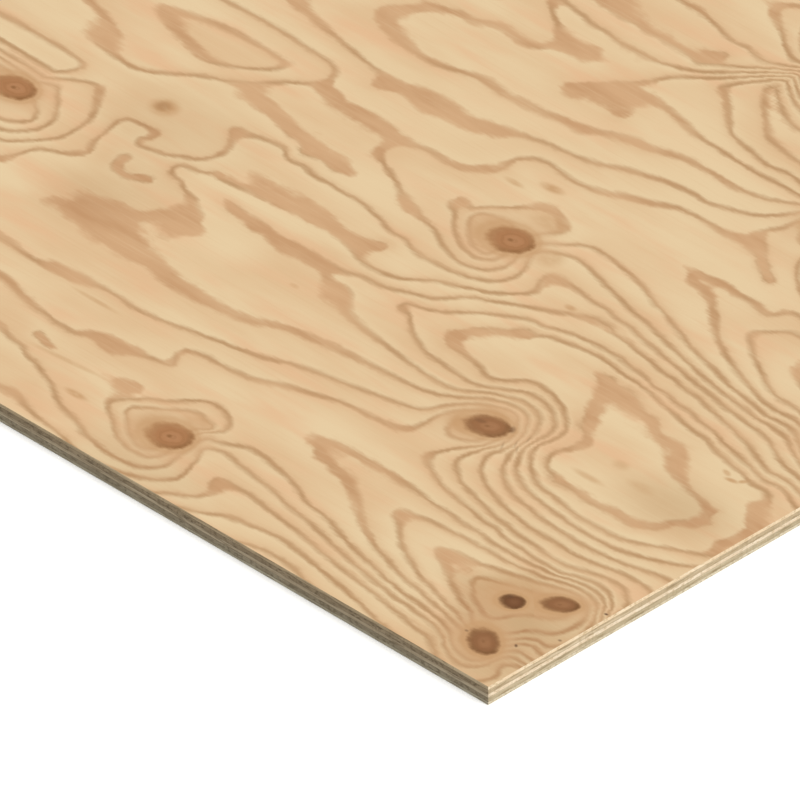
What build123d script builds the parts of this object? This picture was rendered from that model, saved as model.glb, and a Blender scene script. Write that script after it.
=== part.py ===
"""Five-ply softwood plywood sheet, lying flat on its back veneer.

Millimetres. The origin is the centre of the underside, +X runs along the face
grain and the long edges, +Y across the sheet and +Z up through the plies.
"""

import os

from build123d import *

# Sheet outline, with the face grain along the length
SHEET_LENGTH = 2440.0
SHEET_WIDTH = 1220.0

# Veneer thicknesses after pressing and sanding. The layup is balanced: the back
# is as thick as the face, and the two crossbands are alike.
FACE_THICKNESS = 3.0
CROSSBAND_THICKNESS = 4.3
CENTRE_THICKNESS = 3.4

# Plies from the floor up, each glued face to face on the one below it. The grain
# of the crossbands runs across the sheet, that of the other plies along it.
LAYUP = (
    ("back_veneer", FACE_THICKNESS),
    ("lower_crossband", CROSSBAND_THICKNESS),
    ("centre_veneer", CENTRE_THICKNESS),
    ("upper_crossband", CROSSBAND_THICKNESS),
    ("face_veneer", FACE_THICKNESS),
)


def veneer(name: str, thickness: float, underside: float) -> Part:
    """One ply, trimmed flush with the sheet's outline, on the plane at height underside."""
    bed = Plane.XY.offset(underside)
    outline = bed * Rectangle(SHEET_LENGTH, SHEET_WIDTH)
    ply = extrude(outline, amount=thickness)
    ply.label = name
    return ply


def plywood_sheet() -> list[Part]:
    """The whole layup, each ply bedded on the top of the one below."""
    plies = []
    underside = 0.0
    for name, thickness in LAYUP:
        plies.append(veneer(name, thickness, underside))
        underside += thickness
    return plies


os.makedirs("parts", exist_ok=True)
for ply in plywood_sheet():
    export_step(ply, f"parts/{ply.label}.step")
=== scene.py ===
"""Plywood sheet: five cross-laid plies dressed in the part's own frame.

The face ply carries the figure of a rotary-cut softwood veneer. Its growth rings are the whole-number
levels of one smooth ring field, so that they close round the knots and run out in tongues along the grain.
"""

import logging
import math
from dataclasses import dataclass
from enum import Enum
from typing import Dict, List, NamedTuple, Optional, Sequence, Tuple, Union

import bpy
import numpy as np
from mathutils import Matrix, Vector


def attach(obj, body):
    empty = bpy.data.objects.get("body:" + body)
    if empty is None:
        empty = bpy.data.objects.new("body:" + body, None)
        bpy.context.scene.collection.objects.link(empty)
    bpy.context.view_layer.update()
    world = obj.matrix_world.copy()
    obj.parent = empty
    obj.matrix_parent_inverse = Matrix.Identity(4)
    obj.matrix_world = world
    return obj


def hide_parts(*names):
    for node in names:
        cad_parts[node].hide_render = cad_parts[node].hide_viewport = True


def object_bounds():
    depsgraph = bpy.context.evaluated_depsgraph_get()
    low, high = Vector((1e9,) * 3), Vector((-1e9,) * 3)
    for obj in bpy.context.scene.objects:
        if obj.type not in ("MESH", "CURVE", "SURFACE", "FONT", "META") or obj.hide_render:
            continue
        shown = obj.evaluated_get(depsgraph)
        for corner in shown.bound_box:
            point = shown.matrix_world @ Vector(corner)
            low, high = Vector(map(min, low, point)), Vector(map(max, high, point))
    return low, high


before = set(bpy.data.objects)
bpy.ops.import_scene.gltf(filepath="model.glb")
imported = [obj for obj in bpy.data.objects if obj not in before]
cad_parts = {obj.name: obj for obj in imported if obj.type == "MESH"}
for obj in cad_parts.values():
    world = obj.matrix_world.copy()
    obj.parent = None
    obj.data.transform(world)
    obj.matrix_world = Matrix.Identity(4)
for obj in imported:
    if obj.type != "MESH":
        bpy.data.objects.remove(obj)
CAD_LOW, CAD_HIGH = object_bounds()

LOG = logging.getLogger("plywood_sheet")

Point = Tuple[float, float]
Triple = Tuple[float, float, float]
Colour = Triple
Tone = Tuple[int, int, int]
Traces = Tuple[Tuple[float, Tuple[Point, ...]], ...]
Socket = bpy.types.NodeSocket
Value = Union[float, Socket]

MM = 0.001
TURN_OF_LOG = 400.0
FACE_LIGHT = 1.09
NOISE_MEAN = 0.5


def smooth_step(low: float, high: float, value: np.ndarray) -> np.ndarray:
    """Rise from 0 to 1 between two values along the cubic 3t^2 - 2t^3.

    Args:
        low: Value at which the rise starts.
        high: Value at which it ends.
        value: Array to map.

    Returns:
        Array of the same shape, between 0 and 1.
    """
    share = np.clip((value - low) / (high - low), 0.0, 1.0)
    return share * share * (3.0 - 2.0 * share)


@dataclass(frozen=True)
class Swatch:
    """A colour as it is seen on the lit object, in the usual 0 to 255 steps."""

    red: int
    green: int
    blue: int
    light: float = 1.0

    FULL = 255.0
    CURVE_FOOT = 0.04045
    FOOT_SLOPE = 12.92
    CURVE_OFFSET = 0.055
    CURVE_POWER = 2.4

    def linear(self) -> Colour:
        """Undo the display curve and the light level.

        Returns:
            The surface's own colour in linear light.
        """
        seen = np.array([self.red, self.green, self.blue]) / self.FULL
        raised = ((seen + self.CURVE_OFFSET) / (1.0 + self.CURVE_OFFSET)) ** self.CURVE_POWER
        curve = np.where(seen <= self.CURVE_FOOT, seen / self.FOOT_SLOPE, raised)
        return tuple(float(part) for part in curve / self.light)


Mixed = Union[Triple, Socket, Swatch]


# Ring levels and traced places on their lines, in mm along and across the grain.
RING_LINES: Traces = (
    (1, ((291, 0), (277, 4), (262, 7), (243, 7), (225, 4), (214, 0))),
    (2, ((358, 1), (346, 5), (333, 12), (321, 20), (299, 23), (267, 28), (243, 25), (218, 21), (190, 16),
        (167, 11), (146, 6), (131, 2))),
    (3, ((389, 0), (378, 9), (366, 16), (358, 24), (355, 33), (359, 41), (364, 49), (355, 53), (334, 54),
        (304, 50), (278, 47), (251, 42), (220, 36), (188, 31), (157, 27), (126, 22), (99, 16), (78, 11),
        (63, 2))),
    (4, ((391, 81), (368, 78), (341, 74), (315, 70), (283, 63), (252, 57), (218, 49), (188, 43),
        (157, 38), (131, 35), (105, 32), (88, 29), (73, 22), (63, 14), (52, 9), (41, 6), (32, 9),
        (26, 15), (23, 25), (21, 38), (13, 44), (1, 44))),
    (5, ((404, 88), (394, 93), (381, 100), (363, 101), (342, 97), (317, 91), (289, 79), (262, 75),
        (231, 65), (199, 56), (168, 49), (141, 44), (115, 42), (96, 39), (84, 35), (70, 26), (58, 19),
        (46, 16), (35, 18), (29, 25), (28, 38), (22, 50), (11, 53), (1, 52))),
    (6, ((335, 136), (316, 132), (294, 127), (275, 117), (257, 105), (236, 90), (215, 80), (189, 70),
        (162, 61), (136, 57), (115, 52), (100, 49), (84, 45), (71, 42))),
    (6, ((335, 154), (311, 156), (284, 157), (253, 156), (216, 152), (179, 149), (142, 147), (111, 147),
        (85, 150), (64, 154), (43, 158), (24, 156), (11, 146), (3, 134))),
    (7, ((227, 122), (220, 116), (206, 103), (189, 90), (168, 80), (147, 70), (126, 64), (105, 58),
        (88, 54))),
    (7, ((223, 126), (210, 131), (189, 134), (163, 136), (135, 137), (105, 138), (85, 141), (66, 146),
        (47, 151), (28, 149), (14, 140), (5, 128), (1, 117))),
    (8, ((162, 108), (149, 98), (128, 85), (113, 77), (103, 71), (89, 67), (80, 61), (72, 54))),
    (8, ((158, 113), (142, 117), (121, 121), (105, 125), (90, 130), (74, 134), (59, 139), (43, 144),
        (28, 141), (17, 132), (11, 117), (11, 102), (16, 90), (26, 84), (36, 76), (40, 67))),
    (9, ((116, 101), (109, 91), (100, 83), (88, 76), (77, 71))),
    (7, ((1, 80), (11, 74), (24, 72))),
    (6, ((1, 63), (9, 65), (16, 67), (23, 63), (28, 56))),
    (3, ((10, 3), (7, 9), (6, 14), (9, 21), (13, 28), (8, 35), (3, 38))),
    (9, ((111, 106), (100, 110), (87, 115))),
    (4, ((404, 72), (397, 60), (393, 46), (389, 30), (395, 19), (407, 10), (425, 3))),
    (4, ((541, 10), (524, 7), (507, 5), (492, 2))),
    (5, ((412, 66), (411, 51), (409, 36), (414, 25), (426, 16), (443, 13), (464, 14), (489, 19),
        (516, 29), (539, 37), (554, 46), (571, 54), (591, 62), (612, 70), (645, 79))),
    (6, ((493, 85), (502, 77), (507, 68), (501, 58), (487, 50), (471, 38), (456, 32), (441, 30),
        (429, 32))),
    (7, ((489, 73), (486, 64), (473, 53), (461, 44), (446, 38), (435, 41))),
    (7, ((489, 73), (476, 85), (460, 97), (442, 107), (430, 103), (421, 95))),
    (6, ((493, 86), (476, 99), (464, 112), (453, 122), (437, 125), (422, 120), (412, 110), (412, 100),
        (419, 93))),
    (5, ((510, 142), (515, 149), (518, 158), (512, 165), (497, 168), (473, 169), (449, 173), (428, 183),
        (403, 191), (375, 201), (354, 204), (329, 206), (312, 209), (304, 218), (303, 232), (302, 246),
        (296, 260), (286, 272), (273, 281))),
    (5, ((246, 239), (255, 226), (263, 211), (267, 198), (256, 188), (237, 179), (211, 172), (184, 167),
        (153, 163), (121, 158), (93, 156), (72, 157), (55, 164), (41, 167), (28, 165), (17, 158),
        (6, 145))),
    (4, ((649, 176), (623, 178), (593, 176), (566, 178), (545, 183), (520, 188), (492, 194), (463, 201),
        (439, 211), (412, 218), (380, 224), (354, 230), (330, 236), (314, 246), (307, 261), (294, 276),
        (277, 287), (262, 291))),
    (4, ((242, 238), (245, 225), (246, 212), (236, 199), (219, 189), (190, 181), (163, 174), (137, 170),
        (106, 168), (74, 168), (55, 174), (39, 178), (20, 177), (6, 167), (1, 161))),
    (3, ((386, 257), (360, 259), (330, 263), (315, 271), (298, 285), (280, 295), (263, 299), (248, 294),
        (238, 282), (232, 270), (229, 256), (231, 241), (230, 225), (219, 211), (200, 200), (174, 191),
        (142, 185), (106, 184), (69, 185), (43, 190), (22, 192), (1, 189))),
    (2, ((447, 292), (424, 288), (397, 284), (365, 280), (333, 279), (317, 282), (296, 297), (277, 306),
        (259, 308), (244, 303), (233, 290), (226, 274), (224, 256), (218, 240), (207, 224), (185, 210),
        (158, 204), (127, 199), (95, 198), (64, 199), (38, 204), (17, 210), (1, 212))),
    (1, ((437, 337), (422, 330), (408, 318), (387, 307), (360, 300), (328, 297), (305, 301), (288, 311),
        (273, 320), (257, 320), (239, 314), (226, 304), (219, 290), (220, 272), (216, 253), (204, 236),
        (185, 224), (158, 217), (127, 213), (90, 211), (62, 213), (38, 221), (17, 230), (1, 241))),
    (1, ((437, 339), (422, 344), (405, 353), (391, 366), (374, 379), (359, 389), (335, 396), (319, 402),
        (295, 407), (266, 409), (239, 406), (207, 399), (176, 395), (144, 390), (112, 383), (81, 376),
        (46, 368))),
    (0, ((364, 324), (350, 322), (326, 317), (310, 313), (297, 321), (286, 332), (267, 334), (248, 329),
        (229, 318), (215, 306), (211, 291), (214, 272), (204, 254), (188, 240), (159, 230), (122, 224),
        (85, 224), (64, 229), (38, 242), (14, 254), (4, 261))),
    (0, ((361, 360), (346, 370), (331, 379), (319, 389), (295, 395), (268, 398), (239, 394), (207, 392),
        (176, 385), (149, 379), (120, 375), (91, 366), (67, 362))),
    (0, ((7, 270), (11, 279), (5, 294), (5, 307), (16, 322), (27, 339), (39, 358))),
    (-1, ((226, 360), (215, 342), (204, 321), (193, 308), (189, 294), (195, 280), (196, 268), (188, 256),
        (169, 249), (138, 248), (101, 249), (75, 250), (61, 260), (58, 274), (47, 284), (41, 293),
        (49, 304), (65, 312), (84, 315))),
    (2, ((521, 334), (499, 338), (476, 342), (451, 350), (429, 358), (414, 373), (402, 386), (380, 398),
        (361, 408), (342, 417), (324, 426))),
    (2, ((289, 432), (266, 429), (236, 424), (202, 419), (171, 414), (139, 406), (107, 398), (81, 390),
        (57, 380))),
    (3, ((510, 357), (491, 356), (470, 360), (455, 369), (441, 381), (420, 389), (400, 399), (385, 411),
        (375, 422), (376, 435), (380, 445), (373, 452), (351, 454), (325, 451), (296, 447), (266, 442),
        (234, 436), (197, 429), (160, 423), (123, 417), (88, 412))),
    (4, ((586, 417), (559, 416), (538, 411), (516, 404), (492, 400), (463, 398), (438, 401), (419, 407),
        (403, 421), (400, 433), (405, 450), (413, 467))),
    (4, ((388, 485), (368, 484), (343, 477), (314, 470), (279, 462), (243, 452), (211, 444), (176, 436),
        (139, 430), (104, 427))),
    (5, ((416, 437), (418, 429), (428, 418), (447, 413), (468, 418), (486, 427), (501, 434))),
    (5, ((405, 492), (395, 502), (375, 507), (350, 504), (320, 497), (290, 485), (261, 475), (232, 464),
        (197, 454), (162, 444), (129, 439), (111, 435))),
    (6, ((296, 541), (286, 543), (257, 544), (230, 544), (214, 541))),
    (6, ((295, 536), (280, 530), (259, 520), (241, 506), (222, 489), (203, 478), (176, 465), (150, 455),
        (129, 448))),
    (7, ((196, 523), (204, 514), (199, 504), (184, 492), (163, 479), (141, 466))),
    (6, ((510, 467), (499, 459), (485, 445), (469, 434), (451, 429), (436, 431))),
    (7, ((487, 475), (486, 464), (474, 451), (458, 439), (443, 436))),
    (6, ((506, 481), (494, 479), (482, 493), (468, 507), (457, 517), (441, 521), (427, 514), (420, 502))),
    (5, ((518, 559), (503, 568), (481, 567), (460, 565), (438, 570), (419, 579), (396, 588), (375, 599),
        (348, 601), (319, 601), (302, 605), (296, 614), (301, 628))),
    (4, ((568, 574), (552, 580), (530, 586), (498, 591), (469, 597), (448, 608), (423, 615), (396, 621),
        (364, 622), (341, 629), (324, 636), (313, 646))),
    (3, ((423, 654), (397, 655), (365, 654), (345, 657), (330, 662))),
    (2, ((472, 693), (445, 687), (413, 684), (376, 682), (356, 682))),
    (1, ((467, 746), (452, 734), (434, 718), (419, 707), (392, 701), (367, 696))),
    (0, ((428, 753), (414, 742), (398, 727))),
    (5, ((609, 480), (593, 470), (575, 462), (557, 453), (543, 446), (526, 441))),
    (5, ((707, 514), (696, 512), (664, 509), (631, 508), (593, 509), (561, 510), (543, 514), (532, 524),
        (522, 533))),
    (3, ((706, 334), (693, 332))),
    (3, ((712, 349), (693, 354), (674, 358))),
    (4, ((608, 418), (640, 421), (667, 427), (689, 426), (707, 419), (718, 416), (709, 406), (701, 393),
        (702, 376), (710, 364), (727, 354), (745, 348), (757, 345))),
    (4, ((764, 352), (759, 359), (759, 366), (774, 369), (789, 367), (795, 358), (791, 341), (788, 325),
        (780, 310), (791, 294), (813, 281))),
    (5, ((823, 289), (813, 304), (811, 321), (813, 342), (821, 357), (835, 374))),
    (6, ((837, 295), (833, 312), (842, 332), (859, 350))),
    (7, ((846, 308), (855, 322), (865, 329))),
    (4, ((755, 328), (756, 321), (754, 314), (746, 306), (733, 305), (722, 310), (715, 317))),
    (6, ((621, 92), (602, 88))),
    (5, ((694, 132), (672, 124), (648, 119), (624, 116), (600, 115))),
    (5, ((528, 135), (517, 137))),
    (2, ((542, 330), (563, 332), (585, 331), (606, 332), (633, 334))),
    (5, ((565, 125), (722, 461), (701, 458), (679, 452), (657, 445), (641, 444), (625, 443))),
    (0, ((369, 347), (372, 336))),
    (-1, ((160, 355), (149, 351), (138, 349), (175, 363))),
    (3, ((691, 264), (680, 257), (696, 250), (723, 256), (707, 240), (669, 245), (729, 243))),
    (-1, ((220, 372), (228, 371), (207, 366), (236, 377))),
    (2, ((535, 680), (518, 686), (500, 697))),
)

# Levels between the lines, at the edges of broad patches and where lines are held apart.
RING_GUIDES: Traces = (
    (-1.5, ((127, 275), (96, 281), (159, 289), (159, 311), (117, 300))),
    (-1.35, ((67, 294), (62, 283), (77, 302), (75, 275))),
    (-1.12, ((215, 351), (204, 356), (181, 356), (170, 350), (159, 345), (144, 342), (132, 338),
        (127, 328), (117, 322), (102, 316), (207, 340), (195, 319), (183, 303), (169, 256), (138, 254),
        (101, 255), (77, 257), (54, 289), (50, 295), (56, 302))),
    (-0.88, ((255, 382), (239, 386), (218, 383), (202, 378), (186, 370), (170, 369), (157, 359),
        (141, 357), (126, 357), (115, 348), (107, 340), (98, 329), (88, 322), (232, 351), (222, 333),
        (210, 315), (169, 243), (138, 242), (101, 242), (75, 242), (39, 280), (33, 294), (42, 310))),
    (-0.7, ((278, 383), (265, 377), (255, 371))),
    (-0.6, ((33, 299), (49, 320), (31, 283), (75, 326), (298, 365))),
    (-0.12, ((331, 370), (340, 366), (349, 359), (357, 350), (362, 342), (359, 332), (351, 328),
        (36, 336), (25, 320), (14, 307))),
    (0.12, ((338, 386), (348, 377), (359, 368), (369, 359), (379, 347), (384, 336), (378, 326),
        (369, 318), (25, 355), (10, 338), (2, 327))),
    (0.62, ((419, 337), (406, 337))),
    (1.4, ((445, 338),)),
    (1.5, ((483, 332), (467, 330), (456, 318))),
    (1.88, ((463, 305), (471, 314), (478, 321), (488, 325), (504, 325), (324, 422), (308, 425),
        (292, 425), (535, 704), (518, 706), (502, 704), (487, 701), (474, 698))),
    (2.08, ((545, 661), (527, 667), (510, 667))),
    (2.12, ((544, 340), (564, 339), (585, 337), (612, 339), (472, 294), (486, 295), (496, 298),
        (503, 306), (510, 315), (520, 320), (547, 321), (585, 324), (617, 327), (650, 339), (324, 432),
        (309, 438), (293, 438), (556, 650), (540, 656), (524, 660), (508, 656), (499, 661), (501, 676),
        (500, 687), (488, 691))),
    (2.5, ((661, 353), (596, 353), (532, 352), (595, 308), (611, 276), (573, 266), (530, 271),
        (498, 278))),
    (2.6, ((0, 0), (0, 15), (1, 25))),
    (2.88, ((402, 260), (439, 258), (466, 253), (492, 246), (519, 235), (546, 232), (578, 236),
        (610, 239), (643, 251), (672, 265), (650, 268), (634, 278), (627, 287), (636, 302), (647, 313),
        (665, 324), (687, 331), (532, 362), (553, 364), (580, 363), (607, 362), (634, 360), (659, 358),
        (682, 356), (601, 621), (579, 623), (558, 623), (536, 629), (515, 633), (493, 641), (472, 649),
        (450, 652))),
    (3.12, ((402, 251), (439, 246), (471, 241), (492, 233), (508, 226), (529, 221), (561, 216),
        (594, 217), (626, 222), (653, 220), (685, 219), (717, 225), (744, 231), (758, 237), (743, 247),
        (742, 259), (752, 265), (734, 270), (713, 276), (691, 278), (682, 289), (673, 306), (682, 322),
        (698, 330), (509, 391), (532, 383), (554, 385), (575, 390), (602, 391), (629, 391), (648, 388),
        (658, 381), (667, 373), (682, 368), (595, 609), (568, 612), (536, 616), (514, 617), (498, 627),
        (477, 633), (455, 637), (439, 644))),
    (3.45, ((26, 0), (42, 0), (15, 13))),
    (3.5, ((597, 405), (640, 405), (683, 395), (593, 197), (658, 198), (701, 197), (724, 288), (703, 299),
        (692, 311), (774, 331), (767, 288), (767, 256))),
    (3.6, ((623, 191), (593, 189), (566, 191), (540, 197), (797, 267), (783, 251), (788, 229),
        (775, 356))),
    (3.62, ((758, 338), (745, 340), (765, 318), (761, 306), (749, 297), (733, 296), (716, 303))),
    (3.65, ((694, 411), (690, 397))),
    (3.78, ((737, 332), (724, 325), (743, 319), (734, 314))),
    (3.88, ((698, 170), (684, 177), (666, 179), (686, 567), (630, 578), (605, 576), (584, 576))),
    (4.12, ((697, 163), (678, 161), (657, 165), (642, 170), (686, 542), (659, 553), (643, 550),
        (624, 546), (605, 552), (583, 552), (567, 557), (554, 564))),
    (4.3, ((748, 358), (738, 360))),
    (4.35, ((722, 404), (718, 391))),
    (4.4, ((623, 166), (593, 164), (566, 167), (541, 172), (801, 321), (792, 418), (770, 428), (633, 53),
        (590, 32), (654, 22), (569, 43))),
    (4.45, ((786, 385), (753, 387), (737, 376), (770, 409), (738, 430), (813, 388), (786, 377))),
    (4.5, ((635, 138), (678, 147), (657, 149))),
    (4.55, ((550, 159), (571, 151), (592, 144), (556, 539), (599, 529), (664, 530))),
    (4.7, ((641, 472), (685, 482), (716, 490), (586, 450))),
    (4.72, ((530, 155),)),
    (4.75, ((523, 147), (529, 143))),
    (4.78, ((596, 464), (578, 456), (560, 447))),
    (4.86, ((701, 501), (685, 498), (663, 496), (642, 496), (622, 491))),
    (4.88, ((739, 478), (722, 471), (701, 466), (679, 461), (652, 458), (625, 454), (608, 448),
        (755, 454), (727, 451), (700, 448), (679, 442), (657, 431), (641, 434), (619, 432), (600, 439),
        (533, 432), (550, 439), (594, 126), (576, 135), (560, 139), (544, 138))),
    (4.97, ((287, 606), (282, 600), (276, 595), (268, 589), (260, 584), (253, 580), (246, 576))),
    (5.12, ((512, 440), (586, 117), (576, 116), (565, 113), (554, 116), (541, 124))),
    (5.2, ((281, 590), (264, 578), (250, 570), (271, 601), (256, 590), (242, 582))),
    (5.24, ((286, 619), (308, 590), (296, 589))),
    (5.25, ((591, 477), (572, 469), (554, 460))),
    (5.28, ((503, 148), (520, 127))),
    (5.35, ((496, 142), (504, 129))),
    (5.45, ((634, 106), (677, 106), (602, 104), (570, 102), (634, 91), (570, 66), (602, 72))),
    (5.5, ((555, 480), (582, 491))),
    (5.55, ((422, 148), (464, 153), (379, 158), (470, 546), (449, 549), (502, 544), (374, 553),
        (427, 537))),
    (5.72, ((525, 480), (521, 465), (514, 492), (322, 546), (314, 530), (318, 560))),
    (5.76, ((624, 100), (602, 96), (578, 91), (554, 88), (621, 85), (602, 81), (578, 76), (554, 71))),
    (5.78, ((556, 80),)),
    (5.79, ((306, 532), (304, 550))),
    (5.84, ((578, 84),)),
    (5.85, ((538, 92), (527, 84), (514, 79), (497, 92), (500, 103), (512, 105), (525, 100))),
    (5.88, ((359, 147), (351, 154), (337, 159), (321, 161), (300, 161), (353, 140), (339, 136),
        (318, 127), (296, 121), (277, 111), (259, 99), (238, 85), (217, 75), (300, 530), (281, 524),
        (260, 514), (242, 500), (223, 484), (205, 473), (298, 546), (285, 548), (257, 549), (232, 549),
        (311, 541))),
    (5.97, ((522, 91), (511, 86), (510, 97), (503, 93))),
    (6.12, ((318, 143), (307, 151), (313, 137), (314, 138), (293, 133), (274, 122), (256, 111), (236, 96),
        (215, 85), (285, 536), (270, 531), (257, 525), (241, 512), (224, 495), (206, 483), (268, 539),
        (250, 539), (232, 539))),
    (6.42, ((246, 528), (230, 518), (236, 532), (218, 527))),
    (8.12, ((126, 104), (132, 109), (134, 98))),
    (8.8, ((60, 69), (56, 78), (50, 88))),
)


class KnotTone(Enum):
    """How dark a knot is, as the share of the way from red-brown to near-black brown."""

    PALE = 0.0
    MIDDLE = 0.38
    BROWN = 0.55
    DARK = 0.75
    DARKEST = 1.0


@dataclass(frozen=True)
class Knot:
    """One knot in a veneer: its middle and half-axes in mm, and the turn of its long axis in degrees."""

    along: float
    across: float
    half_long: float
    half_short: float
    turn: float = 0.0
    tone: KnotTone = KnotTone.PALE


FACE_KNOTS: Tuple[Knot, ...] = (
    Knot(438, 467.5, 20.5, 17, 0, KnotTone.PALE),
    Knot(434.5, 67.5, 19.5, 17, 0, KnotTone.PALE),
    Knot(261, 263.5, 19, 14, -15, KnotTone.MIDDLE),
    Knot(39.5, 125.5, 15, 10.5, -30, KnotTone.BROWN),
    Knot(70, 100, 10.5, 9.5, 0, KnotTone.DARKEST),
    Knot(46, 42, 18, 12.5, 35, KnotTone.BROWN),
    Knot(890, 332, 20, 15, 0, KnotTone.PALE),
    Knot(262, 661, 17.5, 13, 8, KnotTone.MIDDLE),
    Knot(40, 523, 15.5, 11, -20, KnotTone.DARK),
    Knot(71, 498, 11.5, 9.5, 0, KnotTone.DARK),
    Knot(47, 440, 15.5, 11.5, 30, KnotTone.MIDDLE),
    Knot(438, 867, 18, 14.5, 0, KnotTone.PALE),
    Knot(262, 1060, 16.5, 12.5, 8, KnotTone.MIDDLE),
    Knot(42, 921, 14.5, 10.5, -20, KnotTone.DARK),
    Knot(47, 838, 15.5, 11.5, 30, KnotTone.MIDDLE),
    Knot(892, 731, 19, 14, 0, KnotTone.PALE),
    Knot(892, 1131, 18, 14, 0, KnotTone.MIDDLE),
    Knot(1075, 150, 15, 11, 6, KnotTone.MIDDLE),
    Knot(1060, 905, 16, 12, -5, KnotTone.DARK),
    Knot(1295, 545, 17, 13, 0, KnotTone.PALE),
    Knot(1330, 1080, 14, 10, 10, KnotTone.MIDDLE),
    Knot(1545, 255, 18, 13, 0, KnotTone.PALE),
    Knot(1530, 815, 13, 9.5, 12, KnotTone.DARK),
    Knot(1790, 480, 16, 12, -6, KnotTone.MIDDLE),
    Knot(1800, 1010, 18, 13.5, 0, KnotTone.PALE),
    Knot(2030, 150, 15, 11, 4, KnotTone.MIDDLE),
    Knot(2065, 735, 17, 12.5, -8, KnotTone.PALE),
    Knot(2290, 380, 13, 10, 15, KnotTone.DARK),
    Knot(2315, 985, 16, 12, 0, KnotTone.MIDDLE),
)

BACK_KNOTS: Tuple[Knot, ...] = (
    Knot(180, 330, 17, 12, 10, KnotTone.MIDDLE),
    Knot(330, 905, 19, 14, 0, KnotTone.PALE),
    Knot(560, 145, 15, 11, -8, KnotTone.DARK),
    Knot(720, 620, 20, 15, 5, KnotTone.PALE),
    Knot(905, 1080, 14, 10, 0, KnotTone.DARK),
    Knot(1040, 300, 18, 13, -5, KnotTone.MIDDLE),
    Knot(1270, 760, 16, 12, 12, KnotTone.MIDDLE),
    Knot(1480, 190, 19, 14, 0, KnotTone.PALE),
    Knot(1640, 985, 15, 11, 7, KnotTone.DARK),
    Knot(1850, 520, 18, 13, -6, KnotTone.PALE),
    Knot(2090, 900, 16, 12, 0, KnotTone.MIDDLE),
    Knot(2260, 240, 17, 12, 9, KnotTone.DARK),
)


@dataclass(frozen=True)
class Mark:
    """A soft mark in the veneer: its middle and half-axes in mm, its strength and its turn in degrees."""

    along: float
    across: float
    half_long: float
    half_short: float
    depth: float
    turn: float = 0.0


FACE_TINTS: Tuple[Mark, ...] = (
    Mark(58, 78, 95, 82, 0.7),
    Mark(760, 385, 95, 75, 0.22),
    Mark(725, 290, 70, 60, 0.2),
    Mark(70, 290, 75, 45, 0.45),
    Mark(425, 20, 90, 35, 0.3),
    Mark(735, 255, 55, 45, 0.2),
    Mark(575, 440, 75, 45, -0.9),
    Mark(600, 560, 85, 60, -0.75),
    Mark(445, 690, 80, 55, -0.7),
    Mark(365, 630, 95, 75, -0.9),
    Mark(252, 552, 65, 55, -0.8),
    Mark(136, 42, 52, 42, -0.75),
    Mark(141, 143, 45, 40, -0.65),
    Mark(541, 618, 60, 45, -0.5),
    Mark(22, 18, 42, 36, 0.3),
    Mark(603, 293, 50, 30, -0.95),
)


class RingSpline:
    """A thin-plate spline through points of known ring level.

    The level at a point is a plane plus a weighted sum of r^2 log r over the distances r to the traced
    points, with the weights solved so that every traced point keeps its own level. Places are in units of
    SCALE mm, and a little slack keeps the weights small.
    """

    SCALE = 100.0
    SLACK = 1.0e-4
    CHUNK = 3000
    LEAST = 1.0e-12

    def __init__(self, traces: Traces) -> None:
        """Solve the weights.

        Args:
            traces: Pairs of a ring level and the points (along, across) in mm that lie on it.
        """
        points = [point for _, course in traces for point in course]
        levels = [level for level, course in traces for _ in course]
        self.places = np.array(points, dtype=float) / self.SCALE
        count = len(points)
        plane = np.hstack([np.ones((count, 1)), self.places])
        plane_terms = plane.shape[1]
        system = np.zeros((count + plane_terms, count + plane_terms))
        system[:count, :count] = self._kernel(self.places) + self.SLACK * np.eye(count)
        system[:count, count:] = plane
        system[count:, :count] = plane.T
        wanted = np.concatenate([np.array(levels, dtype=float), np.zeros(plane_terms)])
        self.weights = np.linalg.solve(system, wanted)

    def _kernel(self, places: np.ndarray) -> np.ndarray:
        """Work out r^2 log r between given places and the traced points.

        Args:
            places: Array of scaled places, one a row.

        Returns:
            Array with a row for each place and a column for each traced point.
        """
        away = places[:, None, :] - self.places[None, :, :]
        square = np.maximum((away * away).sum(-1), self.LEAST)
        return 0.5 * square * np.log(square)

    def level(self, along: np.ndarray, across: np.ndarray) -> np.ndarray:
        """Give the ring level at many places.

        Args:
            along: Distances along the grain in mm, a flat array.
            across: Distances across the grain in mm, a flat array.

        Returns:
            Flat array of ring levels.
        """
        places = np.stack([along, across], axis=1) / self.SCALE
        count = len(self.places)
        plane = self.weights[count] + places @ self.weights[count + 1:]
        bent = [
            self._kernel(places[start:start + self.CHUNK]) @ self.weights[:count]
            for start in range(0, len(places), self.CHUNK)
        ]
        return plane + np.concatenate(bent) if bent else plane


@dataclass(frozen=True)
class LongWave:
    """One cosine wave of a plain figure.

    Its angle turns some times with each turn of the log, and by one radian for each of the given lengths
    in mm along and across the grain. It starts from an angle plus some times the figure's phase, and sways
    to and fro along the grain.
    """

    height: float
    turns: float
    along: float = math.inf
    across: float = math.inf
    start: float = 0.0
    phases: float = 0.0
    sway: float = 0.0

    SWAY_LENGTH = 260.0

    def rise(self, along: np.ndarray, across: np.ndarray, phase: float) -> np.ndarray:
        """Give the wave at many places: its height times the cosine of its angle.

        Args:
            along: Distances along the grain in mm.
            across: Distances across the grain in mm.
            phase: The figure's phase.

        Returns:
            Array of the same shape.
        """
        angle = self.turns * 2.0 * math.pi * across / TURN_OF_LOG + self.start + self.phases * phase
        angle = angle + along / self.along + across / self.across
        return self.height * np.cos(angle + self.sway * np.sin(along / self.SWAY_LENGTH + phase))


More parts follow.
